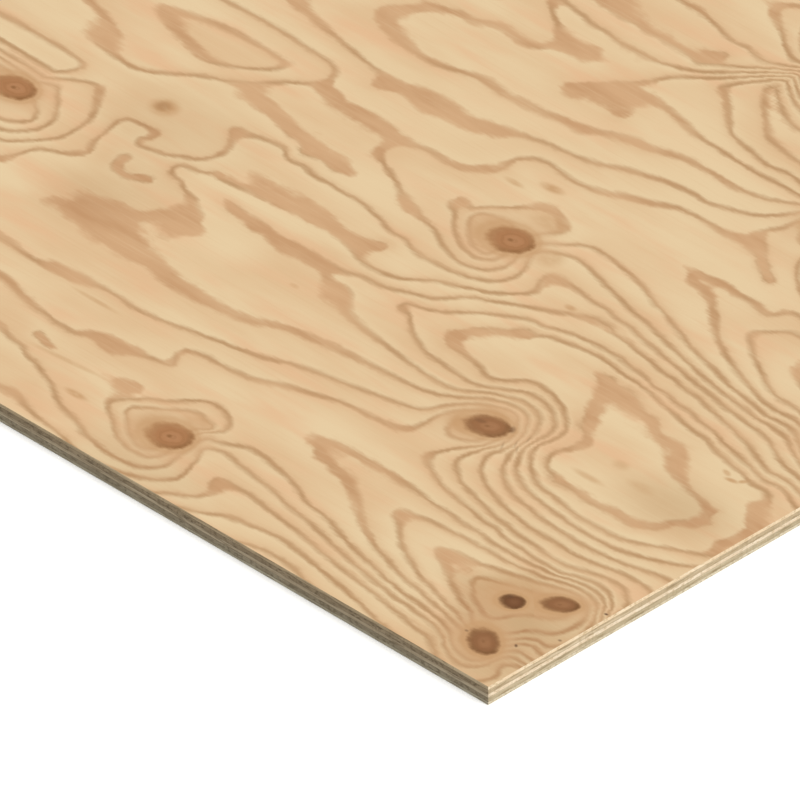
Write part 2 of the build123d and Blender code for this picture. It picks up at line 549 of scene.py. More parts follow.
PLAIN_WAVES: Tuple[LongWave, ...] = (
    LongWave(1.7, 1.0, start=0.4, sway=0.9),
    LongWave(0.95, 2.0, along=-310.0, start=1.1, phases=1.0),
    LongWave(0.4, 3.0, along=170.0, start=2.3),
    LongWave(0.6, 0.0, along=330.0, across=410.0, phases=2.0),
)


@dataclass(frozen=True)
class CrossedWaves:
    """The product of two slanting cosine waves, each given by its mm a radian along and across."""

    first: Point
    second: Point

    def height(self, along: np.ndarray, across: np.ndarray, shift: float = 0.0) -> np.ndarray:
        """Give the product at many places, the first angle shifted and the second shifted twice as far.

        Args:
            along: Distances along the grain in mm.
            across: Distances across the grain in mm.
            shift: The shift in radians.

        Returns:
            Array of the same shape, from -1 to 1.
        """
        first = along / self.first[0] + across / self.first[1] + shift
        second = along / self.second[0] + across / self.second[1] + 2.0 * shift
        return np.cos(first) * np.cos(second)


@dataclass
class DriftingFigure:
    """A plain ring figure for the parts of a veneer that are not traced.

    The level is a sum of long cosine waves, most of which repeat with each turn of the log, and of a hill at
    each knot.
    """

    knots: Tuple[Knot, ...]
    phase: float = 0.0
    middle: float = 2.6
    knot_rise: float = 3.4
    reach_long: float = 3.0
    reach_short: float = 2.3

    def level(self, along: np.ndarray, across: np.ndarray) -> np.ndarray:
        """Give the ring level at many places.

        Args:
            along: Distances along the grain in mm.
            across: Distances across the grain in mm.

        Returns:
            Array of ring levels of the same shape.
        """
        level = self.middle + sum(wave.rise(along, across, self.phase) for wave in PLAIN_WAVES)
        for knot in self.knots:
            away_long = (along - knot.along) / (self.reach_long * knot.half_long)
            away_short = (across - knot.across) / (self.reach_short * knot.half_short)
            level += self.knot_rise * np.exp(-0.5 * (away_long ** 2 + away_short ** 2))
        return level


@dataclass
class BroadTint:
    """The slow change of a veneer's tone: darker above 0, paler below.

    The tint is the sum over soft marks of strength times 1 - s, where s rises smoothly from 0 near a
    mark's middle to 1 just outside its half-axes, and of two crossed long waves.
    """

    marks: Tuple[Mark, ...] = ()
    wave: float = 0.14
    waves: CrossedWaves = CrossedWaves((170.0, 260.0), (-400.0, 95.0))
    firm: float = 0.1
    end: float = 1.2

    def share(self, along: np.ndarray, across: np.ndarray) -> np.ndarray:
        """Give the tint at many places.

        Args:
            along: Distances along the grain in mm.
            across: Distances across the grain in mm.

        Returns:
            Array of tints of the same shape.
        """
        tint = self.wave * self.waves.height(along, across)
        for mark in self.marks:
            away_long = (along - mark.along) / mark.half_long
            away_short = (across - mark.across) / mark.half_short
            away = np.hypot(away_long, away_short)
            tint += mark.depth * (1.0 - smooth_step(self.firm, self.end, away))
        return tint


class FaceFigure:
    """The ring field of the face veneer, traced near one corner and carried on over the sheet.

    Lengths are in mm. GAP_MIDDLE and the SEEN values bound the traced part across the grain, the HOLD
    values along it, and the FAR values are where the traced figure goes over into the plain one.
    """

    FADE = 30.0
    GAP_MIDDLE = 366.0
    SEEN_RISE = 361.0
    SEEN_FALL = 1251.0
    TURNS = 3
    HOLD_RISE = 570.0
    HOLD_FALL = 1256.0
    HOLD_SOFT = 12.0
    MOST_PAST = 50.0
    TURN_STEP = 0.37
    TURN_WAVE = 0.75
    TURN_WAVES = CrossedWaves((95.0, 140.0), (-230.0, 60.0))
    FAR_FROM = 882.0
    FAR_TO = 1480.0
    FAR_PHASE = 0.35

    def __init__(self) -> None:
        """Fit the traced spline and lay out the plain figure."""
        self.spline = RingSpline(RING_LINES + RING_GUIDES)
        self.far = DriftingFigure(FACE_KNOTS, self.FAR_PHASE)

    def _traced(self, along: np.ndarray, across: np.ndarray) -> np.ndarray:
        """Repeat the traced figure with each turn of the log, fading from one turn to the next.

        Args:
            along: Flat array of distances along the grain in mm.
            across: Flat array of distances across the grain in mm.

        Returns:
            Flat array of ring levels.
        """
        edge = np.maximum(self.GAP_MIDDLE, np.minimum(along + self.SEEN_RISE, self.SEEN_FALL - along))
        passed = [np.ones_like(along)]
        for turn in range(self.TURNS):
            start = edge + turn * TURN_OF_LOG
            passed.append(smooth_step(-self.FADE, self.FADE, across - start))
        passed.append(np.zeros_like(along))
        level = np.zeros_like(along)
        for turn in range(self.TURNS + 1):
            share = passed[turn] - passed[turn + 1]
            here = share > 0.0
            level[here] += share[here] * self._one_turn(turn, along[here], across[here])
        return level

    def _one_turn(self, turn: int, along: np.ndarray, across: np.ndarray) -> np.ndarray:
        """Give the traced figure as one turn of the log shows it.

        Past the seen part the level is held along the grain: the distance along the grain goes over softly
        into a limit that depends on the distance across it. Each later turn is a little deeper in the log,
        so its level is shifted by a step and by a long wave.

        Args:
            turn: Number of the turn, 0 for the traced one.
            along: Flat array of distances along the grain in mm.
            across: Flat array of distances across the grain in mm.

        Returns:
            Flat array of ring levels.
        """
        own = across - turn * TURN_OF_LOG
        limit = np.minimum(own + self.HOLD_RISE, self.HOLD_FALL - own)
        past = np.clip((along - limit) / self.HOLD_SOFT, -self.MOST_PAST, self.MOST_PAST)
        soft = self.HOLD_SOFT * np.log1p(np.exp(past))
        over = np.where(past >= self.MOST_PAST, along - limit, soft)
        level = self.spline.level(along - over, own)
        if turn > 0:
            wave = self.TURN_WAVES.height(along, across, turn)
            level += self.TURN_STEP * turn + self.TURN_WAVE * wave
        return level

    def level(self, along: np.ndarray, across: np.ndarray) -> np.ndarray:
        """Give the ring level at many places of the face.

        Args:
            along: Array of distances from the near corner along the grain, in mm.
            across: Array of distances from it across the grain, in mm.

        Returns:
            Array of ring levels of the same shape.
        """
        flat_along, flat_across = along.ravel(), across.ravel()
        far_share = smooth_step(self.FAR_FROM, self.FAR_TO, flat_along)
        level = far_share * self.far.level(flat_along, flat_across)
        near = far_share < 1.0
        level[near] += (1.0 - far_share[near]) * self._traced(flat_along[near], flat_across[near])
        return level.reshape(along.shape)


@dataclass(frozen=True)
class Grain:
    """A noise pattern: waves per metre on X, Y and Z, number and strength of finer layers, and a shift."""

    waves: Triple
    layers: float = 2.0
    strength: float = 0.5
    shift: Triple = (0.0, 0.0, 0.0)


@dataclass(frozen=True)
class Ramp:
    """A smooth change held at both ends: the values it runs between and the results at either end."""

    low: Value
    high: Value
    start: float = 0.0
    end: float = 1.0


class MixKind(Enum):
    """What a mix node mixes: Blender's name for it, the numbers of its two inputs and of its output."""

    COLOUR = ("RGBA", 6, 7, 2)
    VECTOR = ("VECTOR", 4, 5, 1)


class NodeSheet:
    """One material's nodes, with short ways to add the few kinds that the finishes need."""

    def __init__(self, name: str) -> None:
        """Start a material with one principled shader and the object coordinates.

        Args:
            name: The material's name.
        """
        self.material = bpy.data.materials.new(name)
        self.material.use_nodes = True
        self.tree = self.material.node_tree
        self.tree.nodes.clear()
        output = self.tree.nodes.new("ShaderNodeOutputMaterial")
        self.shader = self.tree.nodes.new("ShaderNodeBsdfPrincipled")
        self.tree.links.new(self.shader.outputs["BSDF"], output.inputs["Surface"])
        self.place = self.tree.nodes.new("ShaderNodeTexCoord").outputs["Object"]

    def feed(self, socket: Socket, value: Union[float, Mixed]) -> None:
        """Link a socket to another one, or set its own value.

        Args:
            socket: The input to feed.
            value: An output socket, a swatch, a number or a tuple.
        """
        if isinstance(value, bpy.types.NodeSocket):
            self.tree.links.new(value, socket)
        elif isinstance(value, Swatch):
            socket.default_value = (*value.linear(), 1.0)
        elif isinstance(value, tuple) and socket.type == "RGBA":
            socket.default_value = (*value, 1.0)
        else:
            socket.default_value = value

    def attribute(self, name: str) -> Socket:
        """Give a mesh attribute's value.

        Args:
            name: The attribute's name.

        Returns:
            The socket with its value.
        """
        node = self.tree.nodes.new("ShaderNodeAttribute")
        node.attribute_name = name
        return node.outputs["Fac"]

    def math(self, operation: str, first: Value, second: Value = 0.0, third: Value = 0.0) -> Socket:
        """Add a math node.

        Args:
            operation: Blender's name of the operation.
            first: First operand.
            second: Second operand, where there is one.
            third: Third operand, where there is one.

        Returns:
            The result's socket.
        """
        node = self.tree.nodes.new("ShaderNodeMath")
        node.operation = operation
        for socket, value in zip(node.inputs, (first, second, third)):
            self.feed(socket, value)
        return node.outputs["Value"]

    def times(self, first: Value, second: Value) -> Socket:
        """Multiply two values."""
        return self.math("MULTIPLY", first, second)

    def held(self, value: Value, low: float, high: float) -> Socket:
        """Keep a value between two limits."""
        return self.math("MINIMUM", self.math("MAXIMUM", value, low), high)

    def measure(self, operation: str, first: Socket, second: Triple = (0.0, 0.0, 0.0)) -> Socket:
        """Work out one number from a vector and a fixed one.

        Args:
            operation: Blender's name of the vector operation.
            first: The vector.
            second: The fixed vector, where the operation needs one.

        Returns:
            The number's socket.
        """
        node = self.tree.nodes.new("ShaderNodeVectorMath")
        node.operation = operation
        self.feed(node.inputs[0], first)
        self.feed(node.inputs[1], second)
        return node.outputs["Value"]

    def local(self, spot: Union[Knot, Mark], level: float) -> Socket:
        """Give coordinates measured from a spot's middle, along its turned axes, in its half-axes.

        Args:
            spot: The knot or mark.
            level: Height of the middle in metres.

        Returns:
            The local coordinates.
        """
        middle = (CAD_HIGH.x - spot.along * MM, CAD_LOW.y + spot.across * MM, level)
        node = self.tree.nodes.new("ShaderNodeMapping")
        node.vector_type = "TEXTURE"
        self.feed(node.inputs["Vector"], self.place)
        node.inputs["Location"].default_value = middle
        node.inputs["Rotation"].default_value = (0.0, 0.0, math.radians(-spot.turn))
        node.inputs["Scale"].default_value = (spot.half_long * MM, spot.half_short * MM, 1.0)
        return node.outputs["Vector"]

    def noise(self, grain: Grain) -> Socket:
        """Add a noise on stretched coordinates.

        Args:
            grain: The pattern.

        Returns:
            The noise's value, about 0.5 in the mean.
        """
        node = self.tree.nodes.new("ShaderNodeTexNoise")
        mapping = self.tree.nodes.new("ShaderNodeMapping")
        self.feed(mapping.inputs["Vector"], self.place)
        mapping.inputs["Scale"].default_value = grain.waves
        mapping.inputs["Location"].default_value = grain.shift
        self.feed(node.inputs["Vector"], mapping.outputs["Vector"])
        node.inputs["Scale"].default_value = 1.0
        node.inputs["Detail"].default_value = grain.layers
        node.inputs["Roughness"].default_value = grain.strength
        return node.outputs["Fac"]

    def centred(self, noise: Socket) -> Socket:
        """Shift a noise so that its mean is about 0."""
        return self.math("SUBTRACT", noise, NOISE_MEAN)

    def step(self, value: Value, ramp: Ramp) -> Socket:
        """Map a value smoothly from one range onto another, held at both ends.

        Args:
            value: The value to map.
            ramp: The two ranges.

        Returns:
            The mapped value.
        """
        node = self.tree.nodes.new("ShaderNodeMapRange")
        node.interpolation_type = "SMOOTHSTEP"
        given = (value, ramp.low, ramp.high, ramp.start, ramp.end)
        for name, item in zip(("Value", "From Min", "From Max", "To Min", "To Max"), given):
            self.feed(node.inputs[name], item)
        return node.outputs["Result"]

    def mix(self, share: Value, first: Mixed, second: Mixed, kind: MixKind = MixKind.COLOUR) -> Socket:
        """Mix two colours or two vectors.

        Args:
            share: Share of the second one.
            first: What share 0 gives.
            second: What share 1 gives.
            kind: Whether they are colours or vectors.

        Returns:
            The mixture.
        """
        data_type, first_input, second_input, output = kind.value
        node = self.tree.nodes.new("ShaderNodeMix")
        node.data_type = data_type
        self.feed(node.inputs[0], share)
        self.feed(node.inputs[first_input], first)
        self.feed(node.inputs[second_input], second)
        return node.outputs[output]

    def height(self, place: Socket) -> Socket:
        """Give the Z part of a vector.

        Args:
            place: The vector.

        Returns:
            Its Z part.
        """
        node = self.tree.nodes.new("ShaderNodeSeparateXYZ")
        self.feed(node.inputs["Vector"], place)
        return node.outputs["Z"]

    def coat(self, colour: Socket, roughness: Socket, gloss: float) -> None:
        """Give the shader its colour, its roughness and its gloss.

        Args:
            colour: The surface's colour.
            roughness: How matt it is, 0 to 1.
            gloss: Strength of its reflections, 0 to 1.
        """
        self.feed(self.shader.inputs["Base Color"], colour)
        self.feed(self.shader.inputs["Roughness"], roughness)
        self.shader.inputs["Specular IOR Level"].default_value = gloss

    def bump(self, height: Socket, depth: float, strength: float) -> None:
        """Give the shader a fine relief.

        Args:
            height: The relief's height, 0 to 1.
            depth: Depth of one unit of height in metres.
            strength: How much of it shows.
        """
        node = self.tree.nodes.new("ShaderNodeBump")
        node.inputs["Strength"].default_value = strength
        node.inputs["Distance"].default_value = depth
        self.feed(node.inputs["Height"], height)
        self.feed(self.shader.inputs["Normal"], node.outputs["Normal"])


FACE_FLECKS: Tuple[Mark, ...] = (
    Mark(5, 141, 2.5, 1.7, 0.9),
    Mark(5.5, 88, 2.3, 1.8, 0.6),
    Mark(25.5, 57.5, 2.9, 1.7, 0.8, 40),
    Mark(69, 44, 2.5, 1.8, 0.5),
    Mark(245, 273, 6, 3.5, 0.5, 50),
    Mark(272.5, 263.5, 7.4, 3.6, 0.3, -15),
    Mark(228.5, 260, 7.4, 1.4, 0.22, 62),
    Mark(222, 255, 6.3, 1.3, 0.2, 55),
    Mark(234.5, 250.5, 7.4, 1.4, 0.22, 60),
    Mark(225.5, 272, 6.3, 1.3, 0.2, 70),
    Mark(78, 103.5, 4.7, 3.7, 0.35, 40),
    Mark(785, 400, 9.5, 9, 0.18),
)

FACE_STAINS: Tuple[Mark, ...] = (
    Mark(459, 68, 22.1, 20, 0.55),
    Mark(434, 97, 20, 12.6, 0.5),
    Mark(467, 466, 23.1, 22.1, 0.55),
    Mark(434.5, 506.5, 25.2, 13.7, 0.5),
    Mark(398.5, 471.5, 14.7, 14.7, 0.5),
    Mark(279, 251, 21, 15.8, 0.9),
    Mark(269.5, 278.5, 25.2, 11.6, 0.7),
    Mark(65.5, 113, 65.1, 28.4, 0.7, -20),
    Mark(82, 101.5, 21, 14.7, 0.6),
    Mark(32.5, 132, 25.2, 16.8, 0.5, -24),
    Mark(48.5, 42, 31.5, 22.1, 0.9, 33),
    Mark(783, 400, 15.8, 13.7, 1),
    Mark(470, 544.5, 14.7, 6.3, 0.8, -4),
    Mark(499, 528.5, 12.6, 4.2, 0.6),
    Mark(336, 431.5, 7.4, 4.2, 0.7),
    Mark(535, 54, 14.7, 4.7, 0.8),
    Mark(619.5, 160.5, 29.4, 3.2, 0.5),
    Mark(575, 83, 45, 3.4, 0.45, -5),
    Mark(153.5, 269, 20, 4.7, 0.5),
    Mark(146.5, 300, 10.5, 7.4, 0.4),
    Mark(112.5, 289, 16.8, 7.4, 0.35),
    Mark(520, 292, 6.3, 3.2, 0.4),
    Mark(77.5, 354, 6.3, 3.2, 0.8, 20),
    Mark(67, 349, 8.4, 3.2, 0.8, -10),
    Mark(59, 354, 5.3, 3.2, 0.8, -50),
)


@dataclass(frozen=True)
class KnotFinish:
    """Knots laid into the wood: wide tint, halo, core with its heart and rings, rim and pith.

    Ramps run over the distance from a knot's middle in its half-axes, apart from those named for rings,
    side and break, which run over the wave of its rings, its darker side and the roughness of its outline.
    """

    knots: Tuple[Knot, ...]
    level: float
    tint: Swatch = Swatch(213, 169, 125, FACE_LIGHT)
    halo: Swatch = Swatch(198, 152, 104, FACE_LIGHT)
    pale: Swatch = Swatch(176, 122, 78, FACE_LIGHT)
    dark: Swatch = Swatch(112, 68, 36, FACE_LIGHT)
    rim_pale: Swatch = Swatch(142, 96, 52, FACE_LIGHT)
    rim_dark: Swatch = Swatch(98, 60, 26, FACE_LIGHT)
    heart: Swatch = Swatch(188, 136, 94, FACE_LIGHT)
    tone_scale: float = 100.0
    far_off: float = 9.0
    rough_grain: Grain = Grain((85.0, 120.0, 1.0), 4.0, 0.65)
    raggedness: float = 0.36
    lean: Triple = (0.12, 0.03, 0.0)
    most_lean: float = 0.2
    ring_waves: float = 15.0
    tint_ramp: Ramp = Ramp(1.0, 3.0, 0.55, 0.0)
    halo_ramp: Ramp = Ramp(0.9, 1.8, 0.9, 0.0)
    halo_rings: Ramp = Ramp(-1.0, 1.0, 0.7, 1.0)
    heart_ramp: Ramp = Ramp(0.05, 0.6, 0.5, 0.0)
    dark_heart: float = 0.2
    fair_heart: float = 0.8
    core_ramp: Ramp = Ramp(0.66, 1.2, 0.95, 0.0)
    core_rings: Ramp = Ramp(0.0, 1.0, 0.0, 0.22)
    ringed_core: Ramp = Ramp(0.7, 1.0, 1.0, 0.0)
    rim_rise: Ramp = Ramp(0.5, 0.86)
    rim_fall: Ramp = Ramp(0.86, 1.2, 1.0, 0.0)
    rim_way: Triple = (0.8, -0.2, 0.0)
    rim_side: Ramp = Ramp(-0.6, 0.8, 0.0, 0.95)
    fair_rim: float = 0.25
    dark_rim: float = 0.5
    rim_break: Ramp = Ramp(0.35, 0.65, 1.0, 0.6)
    pith_place: Triple = (-0.16, -0.06, 0.0)
    pith_ramp: Ramp = Ramp(0.04, 0.2, 0.75, 0.0)

    def field(self, sheet: NodeSheet) -> Tuple[Socket, Socket]:
        """Find the nearest knot.

        Args:
            sheet: The material's nodes.

        Returns:
            Distance from the nearest knot's middle in its half-axes, and the place inside that knot, with
            the knot's tone as a small height.
        """
        nearest: Value = self.far_off
        inside: Mixed = (self.far_off, self.far_off, 0.0)
        for knot in self.knots:
            tone = knot.tone.value / self.tone_scale
            own = sheet.local(knot, self.level - tone)
            away = sheet.measure("LENGTH", own)
            closer = sheet.math("LESS_THAN", away, nearest)
            inside = sheet.mix(closer, inside, own, MixKind.VECTOR)
            nearest = sheet.math("MINIMUM", away, nearest)
        return nearest, inside

    def lay(self, sheet: NodeSheet, knots: Tuple[Socket, Socket], wood: Socket) -> Socket:
        """Lay the knots into the wood.

        Args:
            sheet: The material's nodes.
            knots: Distance from the nearest knot and the place inside it.
            wood: The wood's colour round them.

        Returns:
            The colour with the knots.
        """
        nearest, inside = knots
        rough = sheet.noise(self.rough_grain)
        lean = sheet.measure("DOT_PRODUCT", inside, self.lean)
        taper = sheet.held(lean, -self.most_lean, self.most_lean)
        drawn = sheet.times(nearest, sheet.math("ADD", 1.0, taper))
        ragged = sheet.math("MULTIPLY_ADD", sheet.centred(rough), self.raggedness, drawn)
        tone = sheet.times(sheet.height(inside), self.tone_scale)
        fair = sheet.math("SUBTRACT", 1.0, tone)
        wave = sheet.math("SINE", sheet.times(ragged, self.ring_waves))
        wood = sheet.mix(sheet.step(drawn, self.tint_ramp), wood, self.tint)
        near = sheet.times(sheet.step(ragged, self.halo_ramp), sheet.step(wave, self.halo_rings))
        wood = sheet.mix(near, wood, self.halo)
        core = sheet.mix(tone, self.pale, self.dark)
        rim_colour = sheet.mix(tone, self.rim_pale, self.rim_dark)
        fair_share = sheet.math("MULTIPLY_ADD", fair, self.fair_heart, self.dark_heart)
        heart = sheet.times(sheet.step(ragged, self.heart_ramp), fair_share)
        core = sheet.mix(heart, core, self.heart)
        wood = sheet.mix(sheet.step(ragged, self.core_ramp), wood, core)
        rings = sheet.times(sheet.step(wave, self.core_rings), sheet.step(ragged, self.ringed_core))
        wood = sheet.mix(sheet.times(rings, fair), wood, rim_colour)
        side = sheet.step(sheet.measure("DOT_PRODUCT", inside, self.rim_way), self.rim_side)
        rim = sheet.times(sheet.step(ragged, self.rim_rise), sheet.step(ragged, self.rim_fall))
        least = sheet.math("MULTIPLY_ADD", tone, self.dark_rim, self.fair_rim)
        rim = sheet.times(rim, sheet.math("MAXIMUM", side, least))
        rim = sheet.times(rim, sheet.step(rough, self.rim_break))
        wood = sheet.mix(rim, wood, rim_colour)
        pith = sheet.measure("DISTANCE", inside, self.pith_place)
        dot = sheet.times(sheet.step(pith, self.pith_ramp), fair)
        return sheet.mix(dot, wood, rim_colour)


class RingShares(NamedTuple):
    """Where a place lies in its growth ring, each as a share."""

    late: Socket
    slow: Socket
    patchy: Socket
    through: Socket


@dataclass(frozen=True)
class VeneerFinish:
    """Rotary-cut softwood: ring lines, broad late-wood patches, knots and fine grain along X."""

    name: str
    knots: KnotFinish
    flecks: Tuple[Mark, ...] = ()
    stains: Tuple[Mark, ...] = ()
    pale: Swatch = Swatch(233, 206, 163, FACE_LIGHT)
    typical: Swatch = Swatch(225, 189, 145, FACE_LIGHT)
    peach: Swatch = Swatch(231, 186, 143, FACE_LIGHT)
    line: Swatch = Swatch(189, 148, 104, FACE_LIGHT)
    patch: Swatch = Swatch(202, 156, 112, FACE_LIGHT)
    patch_pale: Swatch = Swatch(213, 169, 125, FACE_LIGHT)
    stain: Swatch = Swatch(198, 152, 104, FACE_LIGHT)
    dusk: Swatch = Swatch(192, 155, 110, FACE_LIGHT)
    dusk_line: Swatch = Swatch(176, 122, 78, FACE_LIGHT)
    fleck: Swatch = Swatch(96, 64, 40, FACE_LIGHT)
    wobble_grain: Grain = Grain((16.0, 130.0, 1.0), 5.0, 0.65)
    wobble: float = 0.115
    fray_grain: Grain = Grain((80.0, 210.0, 1.0), 3.0, 0.7, (1.3, 9.1, 0.0))
    fray: float = 5.2
    patch_slopes: Ramp = Ramp(0.012, 0.04, 1.0, 0.0)
    line_width: float = 3.45
    least_band: float = 0.125
    most_band: float = 0.34
    width_grain: Grain = Grain((30.0, 60.0, 1.0), 3.0, 0.6, (5.5, 2.7, 0.0))
    width_ramp: Ramp = Ramp(0.3, 0.7, 0.75, 1.25)
    patch_firm: float = 0.45
    patch_crisp: float = -0.2
    line_end: float = 1.5
    slow_side: float = 10.5
    least_reach: float = 0.08
    slow_fall: Ramp = Ramp(0.0, 1.0, 1.0, 0.0)
    slow_start: Ramp = Ramp(-0.06, 0.0)
    cloud_grain: Grain = Grain((4.0, 17.0, 1.0), 3.0, 0.55, (3.1, 7.7, 0.0))
    blush_grain: Grain = Grain((9.0, 38.0, 1.0), 2.0, 0.5, (8.3, 1.9, 0.0))
    cloud_share: float = 2.0
    cloud_start: float = -0.2
    ring_share: float = -0.6
    ripe_ramp: Ramp = Ramp(0.0, 1.0)
    blush_ramp: Ramp = Ramp(0.45, 0.75, 0.0, 0.75)
    shade_grain: Grain = Grain((10.0, 45.0, 1.0), 3.0, 0.6)
    patch_shade: Ramp = Ramp(0.3, 0.7)
    slow_shade: Ramp = Ramp(0.3, 0.7, 0.4, 0.1)
    line_shade: Ramp = Ramp(0.3, 0.66, 0.56, 1.0)
    dusk_share: float = 0.9
    patch_strength: float = 0.9
    knot_fade: Ramp = Ramp(1.3, 3.0, 0.55, 1.0)
    streak_grain: Grain = Grain((11.0, 430.0, 1.0), 4.0, 0.65)
    dark_streaks: Ramp = Ramp(0.5, 0.78, 0.0, 0.14)
    pale_streaks: Ramp = Ramp(0.24, 0.48, 0.22, 0.0)
    mottle_grain: Grain = Grain((60.0, 130.0, 1.0), 3.0, 0.6, (2.2, 4.1, 0.0))
    mottle_ramp: Ramp = Ramp(0.25, 0.6, 0.55, 1.0)
    stain_firm: float = 0.25
    fleck_firm: float = 0.2
    mark_end: float = 1.2
    dull: Ramp = Ramp(0.2, 0.8, 0.58, 0.7)
    late_dull: float = -0.08
    gloss: float = 0.25
    late_relief: float = 0.5
    relief_depth: float = 0.2 * MM
    relief_strength: float = 0.3

    def _late_wood(self, sheet: NodeSheet) -> RingShares:
        """Find the ring lines from the ring level.

        The distance of the level from the nearest whole number, measured against a band that keeps the
        lines about equally wide on the sheet, gives the late wood; where the level hardly changes the band
        becomes a broad patch. On the upper side of a line the wood darkens slowly towards it.

        Args:
            sheet: The material's nodes.

        Returns:
            Late wood, its slow side, how patch-like it is, and the way through the ring.
        """
        level = sheet.attribute("ring")
        slope = sheet.attribute("ring_slope")
        wobble = sheet.noise(self.wobble_grain)
        level = sheet.math("MULTIPLY_ADD", sheet.centred(wobble), self.wobble, level)
        frayed = sheet.noise(self.fray_grain)
        frayed = sheet.times(sheet.centred(frayed), self.fray)
        level = sheet.math("MULTIPLY_ADD", frayed, slope, level)
        through = sheet.math("FRACT", level)
        past = sheet.math("SUBTRACT", level, sheet.math("ROUND", level))
        patchy = sheet.step(slope, self.patch_slopes)
        band = sheet.math("MAXIMUM", sheet.times(slope, self.line_width), self.least_band)
        band = sheet.math("MINIMUM", band, self.most_band)
        width = sheet.noise(self.width_grain)
        band = sheet.times(band, sheet.step(width, self.width_ramp))
        away = sheet.math("DIVIDE", sheet.math("ABSOLUTE", past), band)
        firm = sheet.times(patchy, self.patch_firm)
        faint = sheet.math("MULTIPLY_ADD", patchy, self.patch_crisp, self.line_end)
        late = sheet.math("SUBTRACT", 1.0, sheet.step(away, Ramp(firm, faint)))
        reach = sheet.math("MAXIMUM", sheet.times(slope, self.slow_side), self.least_reach)
        slow = sheet.step(sheet.math("DIVIDE", past, reach), self.slow_fall)
        slow = sheet.times(slow, sheet.step(past, self.slow_start))
        return RingShares(late, slow, patchy, through)

    def _early_wood(self, sheet: NodeSheet, through: Socket) -> Socket:
        """Colour the pale wood between the ring lines.

        Args:
            sheet: The material's nodes.
            through: Share of the way through the ring.

        Returns:
            The colour.
        """
        cloud = sheet.noise(self.cloud_grain)
        blush = sheet.noise(self.blush_grain)
        clouded = sheet.math("MULTIPLY_ADD", cloud, self.cloud_share, self.cloud_start)
        ripe = sheet.math("MULTIPLY_ADD", through, self.ring_share, clouded)
        early = sheet.mix(sheet.step(ripe, self.ripe_ramp), self.pale, self.typical)
        return sheet.mix(sheet.step(blush, self.blush_ramp), early, self.peach)

    def _tinted(self, sheet: NodeSheet, wood: Socket) -> Tuple[Socket, Socket]:
        """Bleach or darken the wood by the mesh's broad tint.

        Args:
            sheet: The material's nodes.
            wood: The wood's colour.

        Returns:
            The tinted colour and the share of the dark tint.
        """
        tint = sheet.attribute("tint")
        bleach = sheet.held(sheet.times(tint, -1.0), 0.0, 1.0)
        wood = sheet.mix(bleach, wood, self.pale)
        dusk = sheet.held(tint, 0.0, 1.0)
        return sheet.mix(dusk, wood, self.dusk), dusk

    def _ringed(self, sheet: NodeSheet, rings: RingShares, wood: Socket, dusk: Socket,
                nearest: Socket) -> Socket:
        """Draw the ring lines and patches, weaker beside a knot.

        Args:
            sheet: The material's nodes.
            rings: Where each place lies in its ring.
            wood: The early wood's colour.
            dusk: Share of the dark tint.
            nearest: Distance from the nearest knot.

        Returns:
            The colour with the late wood.
        """
        shade = sheet.noise(self.shade_grain)
        shaded = sheet.step(shade, self.patch_shade)
        patch = sheet.mix(shaded, self.patch_pale, self.patch)
        slow = sheet.times(rings.slow, sheet.step(shade, self.slow_shade))
        wood = sheet.mix(slow, wood, patch)
        late = sheet.mix(rings.patchy, self.line, patch)
        late = sheet.mix(sheet.times(dusk, self.dusk_share), late, self.dusk_line)
        strength = sheet.step(shade, self.line_shade)
        strength = sheet.math("MAXIMUM", strength, sheet.times(rings.patchy, self.patch_strength))
        strength = sheet.times(strength, sheet.step(nearest, self.knot_fade))
        return sheet.mix(sheet.times(rings.late, strength), wood, late)

    def _marked(self, sheet: NodeSheet, marks: Sequence[Mark], firm: float) -> Value:
        """Find how far into one of several soft marks each place is.

        Args:
            sheet: The material's nodes.
            marks: The marks.
            firm: Share of the half-axes that is fully marked.

        Returns:
            The share of the mark's colour.
        """
        share: Value = 0.0
        for mark in marks:
            away = sheet.measure("LENGTH", sheet.local(mark, self.knots.level))
            fade = Ramp(firm, self.mark_end, mark.depth, 0.0)
            share = sheet.math("MAXIMUM", share, sheet.step(away, fade))
        return share

    def material(self) -> bpy.types.Material:
        """Build the material.

        Returns:
            The finished material.
        """
        sheet = NodeSheet(self.name)
        rings = self._late_wood(sheet)
        knots = self.knots.field(sheet)
        wood, dusk = self._tinted(sheet, self._early_wood(sheet, rings.through))
        wood = self._ringed(sheet, rings, wood, dusk, knots[0])
        streak = sheet.noise(self.streak_grain)
        wood = sheet.mix(sheet.step(streak, self.dark_streaks), wood, self.patch)
        wood = sheet.mix(sheet.step(streak, self.pale_streaks), wood, self.pale)
        mottle = sheet.noise(self.mottle_grain)
        stained = self._marked(sheet, self.stains, self.stain_firm)
        stained = sheet.times(stained, sheet.step(mottle, self.mottle_ramp))
        wood = sheet.mix(stained, wood, self.stain)
        wood = self.knots.lay(sheet, knots, wood)
        if self.flecks:
            flecked = self._marked(sheet, self.flecks, self.fleck_firm)
            wood = sheet.mix(flecked, wood, self.fleck)
        worn = sheet.math("MULTIPLY_ADD", rings.late, self.late_dull, sheet.step(streak, self.dull))
        sheet.coat(wood, worn, self.gloss)
        relief = sheet.math("MULTIPLY_ADD", rings.late, self.late_relief, streak)
        sheet.bump(relief, self.relief_depth, self.relief_strength)
        return sheet.material


class EdgeRun(Enum):
    """Which pair of edges a cut face lies on, as the axis it runs along."""

    LONG = "X"
    SHORT = "Y"


@dataclass(frozen=True)
class SawnGrain:
    """The grain on a sawn edge: coarse and fine waves per metre along it, and waves per metre up it."""

    coarse: float
    fine: float
    up: float


class EdgeGrain(Enum):
    """What a sawn edge shows of the grain."""

    STREAKS = SawnGrain(7.0, 45.0, 520.0)
    CUT_ENDS = SawnGrain(45.0, 220.0, 420.0)


